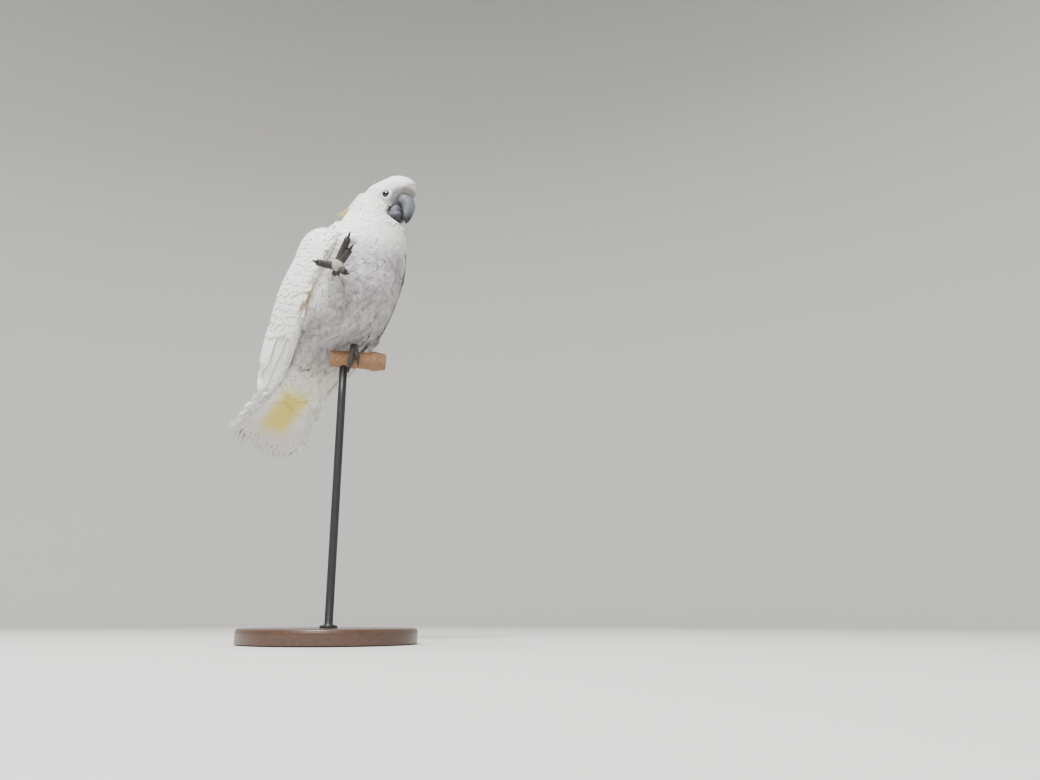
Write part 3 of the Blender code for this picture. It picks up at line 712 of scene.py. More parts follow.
def vanes(surface, line_u, line_a, outline, columns, length, width, height, arch, tilt, ragged, rng):
    """Closed vanes along middle lines on a surface. Across a vane, a point lies at t times the outline's half
    width to the side, and sinks by half the surface's own cross curvature times that distance squared. Its
    height over the surface is the feather's own line of heights, less an arch that falls to both edges as a
    square, plus a tilt that grows across. The tip's edge is ragged, as its barbs part.
    Returns vertices (n, rows, columns, 3) and the two maps' places."""
    n = len(line_u)
    length, width, arch, tilt, ragged = (
        np.broadcast_to(size, (n,))[:, None] for size in (length, width, arch, tilt, ragged))
    t = np.linspace(-1, 1, columns)
    shares, widths = outline[:, 0], outline[:, 1]
    centre, along, around, normal = lean(surface, line_u, line_a)
    way = unit(np.gradient(centre, axis=1))
    side = unit(np.cross(normal, way))
    reach = 0.004
    side_u, side_a = (np.clip(d, -0.4, 0.4) for d in to_params(along, around, side * reach))
    beside = surface(line_u + side_u, line_a + side_a) + surface(line_u - side_u, line_a - side_a)
    bend = np.clip(((beside - 2 * centre) * normal).sum(-1) / reach ** 2, -70, 12)[..., None]
    out = (width / 2 * widths)[..., None] * t
    near_tip = smoothstep(0.55, 1.0, shares)[None, :, None]
    tear = rng.uniform(-1, 1, (n, 1, columns)) * ragged[..., None] * near_tip
    tear = (tear - t ** 2 * 0.13 * near_tip * (shares[None, :, None] > 0.7)) * length[..., None]
    rise = height[..., None] - (arch * widths)[..., None] * t * t + tilt[..., None] * t
    rise = rise + 0.5 * bend * out ** 2
    vertices = centre[:, :, None] + side[:, :, None] * out[..., None] + way[:, :, None] * tear[..., None]
    vertices = vertices + normal[:, :, None] * rise[..., None]
    vane = stacked(out * 100, (shares * length)[..., None] * 100)
    patch = stacked((t * 0.5)[None, None, :], (shares - 0.5)[None, :, None]) * BAKE_PATCH
    return vertices, vane, np.broadcast_to(patch, vane.shape)


def bake_place(u, a):
    """Where a point of the body lies on the skin's own unwrap: round it by across and along it by up."""
    return np.stack(((a / (2 * math.pi)) % 1.0 * 0.62 + 0.01, u / BODY_TOP * 0.96 + 0.02), -1)


def shade(base, tone):
    return base * np.broadcast_to(tone, base.shape[:3])[..., None]


def batch(made, colours, places):
    """Vanes as part of a piece, with a colour for each vertex and a place on the unwrap for each root."""
    vertices, vane, patch = made
    n, rows, columns = vertices.shape[:3]
    faces, smooth = vane_faces(rows, columns)
    all_faces = (faces[None] + (np.arange(n) * rows * columns)[:, None, None]).reshape(-1, 3)
    colours = np.broadcast_to(colours, vertices.shape).reshape(-1, 3)
    patch = (patch + places[:, None, None, :]).reshape(-1, 2)
    return vertices.reshape(-1, 3), all_faces, np.tile(smooth, n), vane.reshape(-1, 2), patch, colours


def plumage(name, batches, material):
    """Batches of vanes as one object."""
    starts = np.cumsum([0] + [len(b[0]) for b in batches[:-1]])
    faces = np.vstack([b[1] + s for b, s in zip(batches, starts)])
    whole = [np.concatenate([b[i] for b in batches]) for i in (0, 2, 3, 4, 5)]
    vertices, smooth, vane, patch, colours = whole
    return make_object(name, vertices, faces, material, smooth, {"Vane": vane, "OFBake": patch}, colours)


def rows_of(surface, ends, span, pitch, rng, closed=True, jitter=0.13):
    """Roots in rows across a surface, from its low end to its high end, every other row half a step on, as
    tiles lie. Rows stand a pitch apart where the surface spreads most, and are thinned where they crowd.
    The pitch is a length, or a function of the first parameter."""
    found, at, odd = [], ends[0], 0
    across = np.linspace(span[0], span[1], 361)
    while at < ends[1]:
        points, along, _, _ = lean(surface, np.full(across.shape, at), across)
        ease = np.linalg.norm(along, axis=-1)
        gap = float(pitch(np.array((at,)))[0]) if callable(pitch) else pitch
        step = gap / np.quantile(ease, 0.85)
        walked = np.concatenate(((0,), np.cumsum(np.linalg.norm(np.diff(points, axis=0), axis=-1))))
        count = max(3, int(round(walked[-1] / gap)))
        share = (np.arange(count) + 0.5 * odd + rng.normal(0, jitter, count)) / count
        share = share % 1.0 if closed else np.clip(share, 0, 1)
        a = np.interp(share * walked[-1], walked, across)
        kept = rng.uniform(size=count) < np.interp(a, across, ease) * step / gap
        found.append(np.stack((at + step * rng.normal(0, jitter, count), a), 1)[kept])
        at, odd = at + step, 1 - odd
    u, a = np.vstack(found).T
    return u, a


# ---------------------------------------------------------------- markings
def blend(colour, other, share):
    return colour + (other - colour) * share[..., None]


def markings(points, look):
    """The bird's colours at points, the same for skin and coat: white, mauve grey on the lower breast,
    belly and the raised thigh, partly soiled feathers and partly painted shade of the underside, cream
    at the vent, faintly yellow on the ear, yellow under the tail, and brown grey round the bill: soiled
    feathers with painted shade at the lower bill, and painted shadow under the forehead over the upper bill."""
    local = points - ORIGIN
    x, y, z = local[..., 0], local[..., 1], local[..., 2]
    # Mauve grey below the breast: soiled, damp feathers, and painted shade of the underside
    belly = smoothstep(0.172, 0.118, z) * smoothstep(0.012, -0.020, y - 0.052 + 0.58 * z)
    belly = belly * smoothstep(0.095, 0.050, np.abs(x))
    mottle = 0.5 + 0.5 * np.sin(x * 260 + 2 * np.sin(z * 150)) * np.sin(z * 210 + 1.5 * np.sin(x * 180))
    belly = belly * (0.55 + 0.45 * mottle)
    vent = smoothstep(0.03, 0.06, y) * smoothstep(0.035, 0.0, z) * smoothstep(0.055, 0.02, np.abs(x))
    ahead, left, up = to_head(points)
    ear = bump(ahead, -0.016, 0.012) * bump(up, -0.012, 0.010) * smoothstep(0.012, 0.022, np.abs(left))
    # Soiled brown grey feathers round the lower bill, with painted shade in their fringe
    near = smoothstep(1.70, 1.15, bill_distance(points, (LOWER_BILL,)))
    # Painted shadow under the forehead's feathers, where they overhang the upper bill
    near = np.maximum(near, 0.80 * smoothstep(2.10, 1.45, bill_distance(points, (UPPER_BILL,))))
    colour = np.broadcast_to(look["white"], points.shape)
    for name, share in (("grey", 0.85 * belly), ("cream", 0.40 * vent), ("yellow", 0.10 * ear),
                        ("yellow", under_tail(local)), ("soil_and_shade", 0.90 * near)):
        colour = blend(colour, look[name], share)
    return colour


def under_tail(local):
    """How yellow the middle of the tail is beneath, from just behind the vent to near its end."""
    away = local - TAIL_ROOT
    distance, aside, above = away @ TAIL_ALONG, away @ TAIL_SIDE, away @ TAIL_ABOVE
    along = smoothstep(0.034, 0.062, distance) * smoothstep(0.146, 0.112, distance)
    return 0.86 * along * smoothstep(0.036, 0.010, np.abs(aside)) * smoothstep(0.008, 0.003, above)


def bill_distance(points, tables):
    """How far points lie from the bill's middle line, in its own half widths and half depths."""
    ahead, left, up = to_head(points)
    nearest = np.full(ahead.shape, 99.0)
    for table in tables:
        stations = curve(np.array(table), np.linspace(0, len(table) - 1.6, 14))
        for forward, height, half_width, half_depth in stations:
            far = ((ahead - forward) ** 2 + (up - height) ** 2) / half_depth ** 2 + (left / half_width) ** 2
            nearest = np.minimum(nearest, far)
    return np.sqrt(nearest)


def beside_bill(points):
    """Which points lie ahead of the gape and under the line up to the cere, where the bill is bare."""
    ahead, left, up = to_head(points)
    bare = (ahead > -0.0002 + 0.15 * (up + 0.0125)) & (up < -0.0125 + 0.76 * (ahead - 0.0003))
    return bare & (up > -0.0395) & (np.abs(left) < 0.019)


def off_face(points, grow):
    """Which points are clear of both halves of the bill, grown by a factor, and of both eyes."""
    from_eyes = [np.linalg.norm(points - (EYES[s] + HEAD_LEFT * s * EYE_OUT), axis=-1) for s in (1, -1)]
    return ~(bill_distance(points, (UPPER_BILL, LOWER_BILL)) < grow) & ~(np.minimum(*from_eyes) < EYE_BARE)


# Length of the contour feathers at each ring of the body, from the tail's end to the face
FEATHER_LENGTHS = np.array((
    0.030, 0.034, 0.038, 0.041, 0.040, 0.036, 0.032, 0.029, 0.027, 0.026, 0.024, 0.022, 0.020, 0.0180, 0.0155,
    0.0140, 0.0125, 0.0112, 0.0100, 0.0088, 0.0076, 0.0064, 0.0052, 0.0044))[:, None]
# Length of the wing's coverts, from its tip to its shoulder
COVERT_LENGTHS = np.array((0.03, 0.03, 0.03, 0.032, 0.032, 0.027, 0.021, 0.016, 0.012))[:, None]


def feather_length(u, a=0.0):
    """Length of the contour feathers, shorter on the throat."""
    throat = np.maximum(np.cos(a), 0) * smoothstep(12.5, 15.0, u)
    return curve(FEATHER_LENGTHS, u)[..., 0] * (1 - 0.40 * throat)


def contour(surface, u, a, length, width, lift, layer, loose, outline, columns, rng, tear=0.05, sway=0.0):
    """Contour feathers with their roots at (u, a). Each lies almost flat: it rises from root to tip by the
    thickness of the layers beneath it, after a short steep quill. Loose ones stand off more and lie askew."""
    width, lift, layer, loose = (np.broadcast_to(size, u.shape) for size in (width, lift, layer, loose))
    heading = rng.normal(sway, 0.07 + 0.24 * loose, len(u))
    line_u, line_a, length, width, lift, layer, loose = laid_lines(
        surface, u, a, length, heading, outline, width, lift, layer, loose)
    n, shares = len(length), outline[:, 0]
    quill = np.clip(1 - shares / 0.24, 0, 1) ** 2
    height = (lift + rng.normal(0, 0.00009, n))[:, None]
    height = height - layer[:, None] * (1 - shares) - (0.5 * lift)[:, None] * quill
    height = height + (loose * length * rng.uniform(-0.02, 0.11, n))[:, None] * shares ** 2
    tilt = rng.normal(0, 0.00012, n) + loose * rng.normal(0, 0.0006, n)
    made = vanes(surface, line_u, line_a, outline, columns, length, width, height, width * 0.018, tilt,
                 tear * (1 + loose), rng)
    return made, line_u, line_a


def body_coat(name, ends, look, material, seed, fluff, columns=9, outline=BODY_OUTLINE):
    """Contour feathers over a stretch of the body, lying towards the tail and overlapping like tiles. fluff
    is how loosely the ones in front lie."""
    rng = np.random.default_rng(seed)
    gap = OVERLAP / look["density"]
    u, a = rows_of(skin_of_body, ends, (0, 2 * math.pi), lambda u: gap * feather_length(u), rng)
    root = skin_of_body(u, a)
    length = feather_length(u, a) * rng.uniform(0.90, 1.10, len(u))
    line_u, line_a = march(skin_of_body, u, a, length * 0.6, np.zeros(len(u)), np.array((0, 1.0)))
    reach = skin_of_body(line_u[:, 1], line_a[:, 1])
    keep = off_face(root, 1.10) & off_face(reach, 0.92) & (line_u[:, 1] > 0.6) & ~beside_bill(root)
    u, a, length = u[keep], a[keep], length[keep]
    front = smoothstep(-0.2, 0.6, np.cos(a)) * smoothstep(10.2, 8.8, u) * smoothstep(4.2, 5.6, u)
    depth = coat_depth(u)
    width = length * rng.uniform(0.70, 0.84, len(u))
    made, line_u, line_a = contour(
        skin_of_body, u, a, length, width, depth * 0.86, np.minimum(LAYER, 0.26 * depth),
        fluff * front + look["looseness"], outline, columns, rng)
    # Painted shade: each feather darker towards its root, under the ones above; a random tone for each
    tone = (0.92 + 0.08 * smoothstep(0.0, 0.6, outline[:, 0]))[None, :, None] * rng.uniform(
        0.965, 1.0, (len(line_u), 1, 1))
    batches = [batch(made, shade(markings(made[0], look), tone), bake_place(line_u[:, 0], line_a[:, 0]))]
    if fluff:
        batches += belly_down(ends, look, seed + 100)
    return plumage(name, batches, material)


def belly_down(ends, look, seed):
    """Soft loose tips over the lower breast, belly and flanks, standing off in wisps."""
    rng = np.random.default_rng(seed)
    u, a = rows_of(skin_of_body, ends, (-1.5, 1.5), 0.0072, rng, False, 0.3)
    kept = smoothstep(10.0, 8.6, u) * smoothstep(4.4, 5.6, u) * smoothstep(1.45, 1.0, np.abs(a))
    kept = rng.uniform(size=len(u)) < kept
    u, a = u[kept], a[kept]
    if not len(u):
        return []
    length = rng.uniform(0.012, 0.022, len(u))
    heading = rng.normal(0, 0.26, len(u))
    line_u, line_a, length = laid_lines(skin_of_body, u, a, length, heading, WISP_OUTLINE)
    u, a, n = line_u[:, 0], line_a[:, 0], len(line_u)
    off = (length * rng.uniform(0.01, 0.11, n))[:, None] * WISP_OUTLINE[:, 0] ** 1.5
    height = (0.80 * coat_depth(u))[:, None] + off
    made = vanes(skin_of_body, line_u, line_a, WISP_OUTLINE, 7, length, length * 0.40, height, length * 0.02,
                 rng.normal(0, 0.0003, n), 0.12, rng)
    return [batch(made, markings(made[0], look), bake_place(u, a))]


def thigh_coat(side, look, material, seed):
    """Short soft feathers down the thigh to the ankle."""
    rng = np.random.default_rng(seed)
    surface = thigh(side)
    u, a = rows_of(surface, (0.1, 5.6), (0, 2 * math.pi), lambda u: 0.0052 + 0.0004 * u, rng)
    length = 0.012 + 0.0014 * u + rng.uniform(0, 0.003, len(u))
    made, line_u, line_a = contour(
        surface, u, a, length, length * 0.72, 0.0026, 0.0010, 0.75, BODY_OUTLINE, 9, rng, 0.08)
    u, a = line_u[:, 0], line_a[:, 0]
    # Painted shade: each feather darker towards its root, under the ones above; a random tone for each
    tone = (0.86 + 0.14 * BODY_OUTLINE[:, 0])[None, :, None] * rng.uniform(0.93, 1.0, (len(u), 1, 1))
    corner = np.array({1: (0.65, 0.50), -1: (0.82, 0.50)}[side])
    places = corner + np.stack((0.15 * a / (2 * math.pi), 0.08 * u / 6), -1)
    down = batch(made, shade(markings(made[0], look), tone), places)
    return plumage(f"coat_thigh_{SIDES[side]}", [down], material)


def bridge(side, behind):
    """The plumage that closes the gap between the body's side and a folded wing: straight lines from one to
    the other at the same height, bowed out a little. It runs from the breast to the wing's front edge, or
    from the back to its back edge. u is 0 at the flank and 1 at the shoulder; v is 0 on the body and 1 on
    the wing. The second parameter is v, with the sign that turns the normal out."""
    rows = np.linspace(0, 1, 41)
    wing_u = np.linspace(1.6 if behind else 2.4, 7.6, 80)
    front, back, _, thick = wing_edges(side, wing_u)
    inward = unit(back - front)
    if behind:
        near = body(6.9 + 5.0 * rows, side * (math.pi - 0.34 - 0.10 * rows))
        rim = back - inward * 0.010 + np.array((0.3 * side, 1.0, 0)) * 0.35 * thick
    else:
        near = body(7.4 + 4.2 * rows, side * (1.02 - 0.10 * rows))
        rim = front + inward * 0.010 + np.array((side, -0.3, 0)) * 0.25 * thick
    rim = np.stack([np.interp(near[:, 2], rim[:, 2], rim[:, k]) for k in range(3)], 1)
    sign = -side if behind else side

    def surface(u, a):
        v = (a * sign)[..., None]
        at = np.clip(u, -0.05, 1.05) * 40
        body_point, wing_point = curve(near, at), curve(rim, at)
        out = unit(np.cross(unit(wing_point - body_point), UP)) * sign
        sunk = 0.0055 * smoothstep(0.50, 0.0, v) - 0.0024 * v
        return body_point + (wing_point - body_point) * v + out * (0.010 * v * (1 - v) - sunk)

    return surface, sign


def side_coat(side, behind, look, material, seed):
    """Long loose feathers between body and wing: in front they lie over the wing's front edge, and behind, as
    the bird's scapulars, over its back edge."""
    rng = np.random.default_rng(seed)
    surface, sign = bridge(side, behind)
    span = (0.04, 1.02) if sign > 0 else (-1.02, -0.04)
    u, a = rows_of(surface, (0.04, 0.98 if behind else 0.92), span, 0.0076, rng, False)
    length = rng.uniform(0.024, 0.032, len(u)) * (1.1 if behind else 0.8 + 0.3 * (1 - u))
    sway = sign * (0.10 if behind else 0.36)
    made, line_u, _ = contour(
        surface, u, a, length, length * 0.72, 0.0010, 0.0012, 0.10, BODY_OUTLINE, 9, rng, 0.06, sway)
    n = len(line_u)
    colours = shade(markings(made[0], look), rng.uniform(0.96, 1.0, (n, 1, 1)))
    places = bake_place(7.4 + 4.2 * line_u[:, 0], np.full(n, side * (2.6 if behind else 1.1)))
    name = "scapulars" if behind else "coat_side"
    return plumage(f"{name}_{SIDES[side]}", [batch(made, colours, places)], material)


# A wing's flight feathers: how many, root (u, v) of the first and the last, their tips, width, height of both
FLIGHT_GROUPS = (
    (9, (3.9, 0.06), (3.9, 0.94), (0.30, 0.34), (1.90, 0.92), 0.034, -0.0026, -0.0018),
    (12, (3.9, 0.10), (3.7, 0.60), (0.15, 0.42), (1.60, 0.70), 0.026, -0.0014, 0.0002),
    (10, (4.6, 0.22), (4.9, 0.93), (1.75, 0.36), (2.65, 0.97), 0.026, 0.0004, 0.0016),
    (9, (5.2, 0.12), (5.5, 0.90), (3.55, 0.16), (3.75, 0.93), 0.020, 0.0014, 0.0022),
)
STAIN_AT = 4.75  # where along the right wing's front edge it is stained


def wing_feathers(side, look, material, seed):
    """Coverts in rows of growing size over the shoulder, then greater coverts, secondaries and primaries,
    each laid along the folded wing towards its tip, the ones nearer the back over the ones nearer the
    front. Small feathers wrap round the front edge to the wing's inner face."""
    rng = np.random.default_rng(seed)
    outer = wing(side, 0.30)
    batches = []

    def gather(made, shares, u, a, wash=0.0, stained=0.0):
        colours = look["white"] + (look["yellow"] - look["white"]) * wash
        # Painted shade: each feather darker towards its root, under the ones above; a random tone for each
        tone = (0.93 + 0.07 * smoothstep(0, 0.6, shares))[None, :, None]
        tone = tone * rng.uniform(0.97, 1.0, (len(u), 1, 1))
        colours = shade(np.broadcast_to(colours, made[0].shape), tone)
        colours = colours + (look["stain"] - colours) * stained
        column = 0.65 + 0.14 * np.abs(a) + (0.17 if side == 1 else 0.0)
        places = np.stack((column, u / WING_ROWS * 0.45 + 0.02), -1)
        batches.append(batch(made, colours, places))

    shares = FLIGHT_OUTLINE[:, 0]
    inner_web = smoothstep(0.1, 0.9, (np.linspace(-1, 1, 11) * side))[None, None, :, None]
    for count, root_one, root_two, tip_one, tip_two, width, low, high in FLIGHT_GROUPS:
        k = np.linspace(0, 1, count)
        start = np.outer(1 - k, root_one) + np.outer(k, root_two)
        end = np.outer(1 - k, tip_one) + np.outer(k, tip_two)
        line_u = start[:, :1] + (end - start)[:, :1] * shares
        bow = np.sin(math.pi * shares) * 0.03
        line_a = (start[:, 1:] + (end - start)[:, 1:] * shares ** 1.1 + bow) * side
        height = (low + (high - low) * k)[:, None] + 0.0006 * shares
        made = vanes(outer, line_u, line_a, FLIGHT_OUTLINE, 11, path_length(outer(line_u, line_a)),
                     width * (1 - 0.15 * k), height, 0.0008, -side * 0.0007, 0.006, rng)
        gather(made, shares, start[:, 0], start[:, 1], 0.25 * inner_web)

    span = (0.01, 0.99) if side == 1 else (-0.99, -0.01)
    gap = OVERLAP / look["density"]
    u, a = rows_of(outer, (4.0, 8.0), span, lambda u: gap * curve(COVERT_LENGTHS, u)[..., 0], rng, False)
    length = curve(COVERT_LENGTHS, u)[..., 0] * rng.uniform(0.92, 1.10, len(u))
    lift = 0.0018 + 0.0018 * smoothstep(4.1, 5.6, u)
    width = length * rng.uniform(0.66, 0.78, len(u))
    made, line_u, line_a = contour(
        outer, u, a, length, width, lift, 0.4 * lift, 0.03, BODY_OUTLINE, 9, rng, 0.03)
    gather(made, BODY_OUTLINE[:, 0], line_u[:, 0], line_a[:, 0])

    edge = wing_rim(side)
    u, a = rows_of(edge, (0.9, 8.0), (-1.0, 1.0), 0.0052, rng, False)
    length = rng.uniform(0.012, 0.016, len(u))
    made, line_u, line_a = contour(
        edge, u, a, length, length * 0.62, 0.0020, LAYER, 0.10, SMALL_OUTLINE, 5, rng)
    stained = bump(line_u, STAIN_AT, 0.50) * smoothstep(-0.9, 0.2, np.abs(line_a)) * 0.9 * (side < 0)
    gather(made, SMALL_OUTLINE[:, 0], line_u[:, 0], np.abs(line_a[:, 0]), 0.0, stained[..., None, None])
    return plumage(f"wing_feathers_{SIDES[side]}", batches, material)


def wing_rim(side):
    """A half round along the wing's front edge: -1 on its outer face, 1 on its inner face."""

    def surface(u, a):
        angle = (a * side * math.pi / 2)[..., None]
        front, back, _, thick = wing_edges(side, u)
        inward = unit(back - front)
        out = unit(np.cross(wing_down(side, u), inward))
        radius = 0.30 * thick + 0.0008
        return front + inward * (0.004 - radius * np.cos(angle)) - out * radius * np.sin(angle)

    return surface


def tail_feathers(look, material, seed):
    """The fan: on each face of the tail twelve feathers spread from the root, the middle ones highest, with
    fringed ends, the under ones yellow in the middle, and wisps of down along both sides of the root."""
    rng = np.random.default_rng(seed)
    count, shares = 12, FLIGHT_OUTLINE[:, 0]
    k = np.linspace(-1, 1, count)
    tip = 0.004 + 0.10 * np.maximum(0, np.abs(k) - 0.62) ** 1.2 + rng.uniform(-0.006, 0.010, count)
    line_u = 0.90 + (tip[:, None] - 0.90) * shares
    batches = []
    for facing in (1, -1):
        sheet = tail(0.12 * facing, facing)
        line_a = -k[:, None] * facing * (0.30 + 0.52 * shares ** 0.8)
        height = 0.0006 + 0.0022 * facing * (0.5 - np.abs(k))[:, None] + 0 * shares
        length = path_length(sheet(line_u, line_a))
        made = vanes(sheet, line_u, line_a, FLIGHT_OUTLINE, 31, length, 0.034, height, 0.0007,
                     np.sign(k) * 0.0006, 0.020, rng)
        local = made[0] - ORIGIN
        wash = under_tail(local) if facing < 0 else 0.22 * under_tail(local - TAIL_ABOVE * 0.02)
        # Painted shade: feather ends greyed, most beneath, where the fan turns from the light
        dusky = (0.75 if facing < 0 else 0.25) * smoothstep(0.2, 0.9, shares)[:, None]
        colours = blend(blend(look["white"], look["dusk"], dusky), look["yellow"], wash)
        batches.append(batch(made, colours, np.stack((0.70 + 0.1 * k, 0.60 + 0 * k), -1)))
    for facing in (1, -1):
        sheet = tail(0.4 * facing, facing)
        n = 260
        u = rng.uniform(0.20, 0.90, n)
        a = np.where(rng.uniform(size=n) < 0.5, -1, 1) * rng.uniform(0.60, 0.96, n)
        length = rng.uniform(0.012, 0.024, n)
        heading = np.sign(a) * rng.uniform(0.1, 1.0, n)
        line_u, line_a, length = laid_lines(sheet, u, a, length, heading, WISP_OUTLINE)
        u, a, n = line_u[:, 0], line_a[:, 0], len(line_u)
        height = 0.0004 + (length * rng.uniform(-0.02, 0.22, n))[:, None] * WISP_OUTLINE[:, 0] ** 1.4
        made = vanes(sheet, line_u, line_a, WISP_OUTLINE, 5, length, length * 0.13, height, 0.0,
                     rng.normal(0, 0.0005, n), 0.10, rng)
        batches.append(batch(made, look["white"], np.stack((0.85 + 0.1 * a, 0.60 + 0.3 * u), -1)))
    return plumage("tail_feathers", batches, material)


def crest_feathers(look, material, seed):
    """Long narrow feathers laid back over the crown in two rows, the hindmost longest, their tips standing
    off the nape, with the short white ones of the forehead over their roots."""
    rng = np.random.default_rng(seed)
    count, shares = 22, CREST_OUTLINE[:, 0]
    order = np.arange(count)
    k = np.linspace(0, 1, count)
    start = 8.2 - 4.2 * k
    end = 3.6 * (1 - k) ** 1.2 + 0.1
    line_u = start[:, None] + (end - start)[:, None] * shares
    across = np.where(order % 2 == 0, -1, 1) * (0.60 - 0.30 * k)
    line_a = across[:, None] * (1 - 0.30 * shares) + 0 * line_u
    splay = (0.0030 - 0.0100 * ((order * 5) % count) / count)[:, None]
    height = 0.0008 + 0.0012 * (1 - k)[:, None] + splay * smoothstep(0.72, 1.0, shares)[None]
    length = path_length(crest(line_u, line_a))
    made = vanes(crest, line_u, line_a, CREST_OUTLINE, 9, length, 0.0098 - 0.0010 * k, height, 0.0010, 0.0,
                 0.006, rng)
    colours = blend(look["white"], look["pale"], smoothstep(-0.050, -0.066, to_head(made[0])[0]))
    long_ones = batch(made, colours, np.stack((0.30 + 0.02 * across, 0.75 + 0.005 * start), -1))

    u, a = rows_of(crest, (4.4, 9.0), (-1.0, 1.0), 0.0038, rng, False)
    length = rng.uniform(0.010, 0.014, len(u))
    lift = 0.0004 + 0.0022 * smoothstep(9.0, 7.0, u) * smoothstep(1.0, 0.5, np.abs(a))
    made, line_u, line_a = contour(
        crest, u, a, length, length * 0.68, lift, 0.0006, 0.03, BODY_OUTLINE, 7, rng)
    u, a = line_u[:, 0], line_a[:, 0]
    tone = rng.uniform(0.97, 1.0, (len(u), 1, 1))
    white = shade(np.broadcast_to(look["white"], made[0].shape), tone)
    short_ones = batch(made, white, np.stack((0.3 + 0.03 * a, 0.72 + 0.02 * u), -1))
    return plumage("crest_feathers", [long_ones, short_ones], material)


# ---------------------------------------------------------------- horn, eyes and feet
def bill_half(table, rows, columns, upper):
    """A horn shell along a bent middle line. Its section is an oval with a sharper ridge outside, and it
    ends in a point. Where the table ends in a blunt row, the last rows round it off."""
    q = np.linspace(0, 1, rows)[:, None]
    at = q * (len(table) - 1)
    forward, up, half_width, half_depth = np.moveaxis(curve(np.array(table), at[:, 0]), -1, 0)
    ahead = np.gradient(forward), np.gradient(up)
    size = np.hypot(*ahead)
    ridge_forward, ridge_up = -ahead[1] / size, ahead[0] / size
    angle = turn_steps(columns)
    blunt = np.sqrt(np.clip(1 - np.clip((q[:, 0] - 0.86) / 0.14, 0, 1) ** 2, 0.0004, 1)) if not upper else 1.0
    wide, deep = half_width * blunt, half_depth * blunt
    ridge = 1 - 0.22 * np.maximum(np.cos(angle), 0) ** 3
    across = wide[:, None] * np.sin(angle) * ridge
    out = deep[:, None] * np.cos(angle) * np.where(np.cos(angle) > 0, 1.0, 0.93)
    growth = 0.00007 * np.sin(q * rows * 0.9) * np.sin(angle / 2) ** 0.5
    out = out * (1 + growth / np.maximum(deep[:, None], 1e-3))
    forward = forward[:, None] + ridge_forward[:, None] * out
    return in_head(forward, across, up[:, None] + ridge_up[:, None] * out)


def ramus(rows=30, columns=48):
    """The lower bill's two sides rising to the gape, as one ball pressed narrow from front to back."""
    lift, angle = ball_steps(rows, columns)
    return in_head(0.0066 + 0.0108 * np.cos(lift) * np.cos(angle) + 0.0010 * np.sin(lift),
                   0.0152 * np.cos(lift) * np.sin(angle), -0.0198 + 0.0142 * np.sin(lift) + 0 * angle)


def horn_material(name, base, tip):
    """Keratin of the bill: dark, fine-grained horn, dulled by pale powder from the down, black and glossier
    towards its bottom.
    """
    made, tree, shader = new_material(name, Roughness=0.42, IOR=1.54)
    place = add(tree, "TexCoord").outputs["Object"]
    away = add(tree, "VectorMath", {0: place, 1: tuple(HEAD_CENTRE)}, operation="SUBTRACT")
    up = add(tree, "VectorMath", {0: away, 1: tuple(HEAD_UP)}, operation="DOT_PRODUCT").outputs["Value"]
    low = add(tree, "MapRange", {0: up, 1: -0.026, 2: -0.036})
    wear = add(tree, "MapRange", {0: cloud(tree, 0.009, 5.0), 1: 0.25, 2: 0.75, 3: 0.30})
    powdered = add(tree, "Mix", {0: wear, 6: rgba(tip), 7: rgba(base)}, data_type="RGBA").outputs[2]
    colour = add(tree, "Mix", {0: low, 6: powdered, 7: rgba(tip)}, data_type="RGBA").outputs[2]
    dulled = add(tree, "MapRange", {0: low, 3: 0.62, 4: 0.28})
    tree.links.new(dulled.outputs[0], shader.inputs["Roughness"])
    dress(tree, shader, cloud(tree, 0.0016, 4.0), 0.00015, 0.5, colour)
    return made


def eye_surface(side, rows=28, columns=40):
    """A ball, from its back to the middle of its front, with its poles on the axis out of the head."""
    lift, angle = ball_steps(rows, columns)
    out = EYE_RADIUS * np.sin(lift) + 0 * angle
    ring = EYE_RADIUS * np.cos(lift)
    return EYES[side] + around_eye(side, ring * np.cos(angle), ring * np.sin(angle), out)


def around_eye(side, ahead, up, out):
    return ahead[..., None] * HEAD_AHEAD * side + up[..., None] * HEAD_UP + out[..., None] * HEAD_LEFT * side


# Profile of the bare ring round the eye: distance from its middle, height out of the head
EYE_RING = ((0.0055, 0.0046), (0.0058, 0.0052), (0.0064, 0.0057), (0.0070, 0.0057), (0.0077, 0.0054),
            (0.0083, 0.0051), (0.0089, 0.0046), (0.0094, 0.0036), (0.0092, 0.0020), (0.0058, 0.0016))


def eye_ring(side, columns=96):
    """The bare ring and lids: a profile carried round the eye, wrinkled both ways, longer than high."""
    rows = curve(np.array(EYE_RING), np.linspace(0, len(EYE_RING) - 1, 40))
    angle = turn_steps(columns)
    far, out = rows[:, :1], rows[:, 1:]
    bare = smoothstep(0.0056, 0.0068, far) * smoothstep(0.0094, 0.0084, far)
    wrinkle = 0.00016 * np.sin(19 * angle + 2.1 * np.sin(3 * angle))
    wrinkle = wrinkle + 0.00012 * np.sin(far * 5200 + np.sin(angle * 4))
    out = out + bare * wrinkle
    ahead, up = far * np.cos(angle) * (1 + 0.10 * bare), far * np.sin(angle) * (1 - 0.02 * bare)
    return EYES[side] + around_eye(side, ahead, up, out + 0 * angle)


def frames_along(points, first):
    """A side and a top direction at each point of a path, the side kept as near as may be to the first."""
    along = unit(np.gradient(points, axis=0))
    side = unit(first - along * (along @ first)[:, None])
    return side, np.cross(along, side)


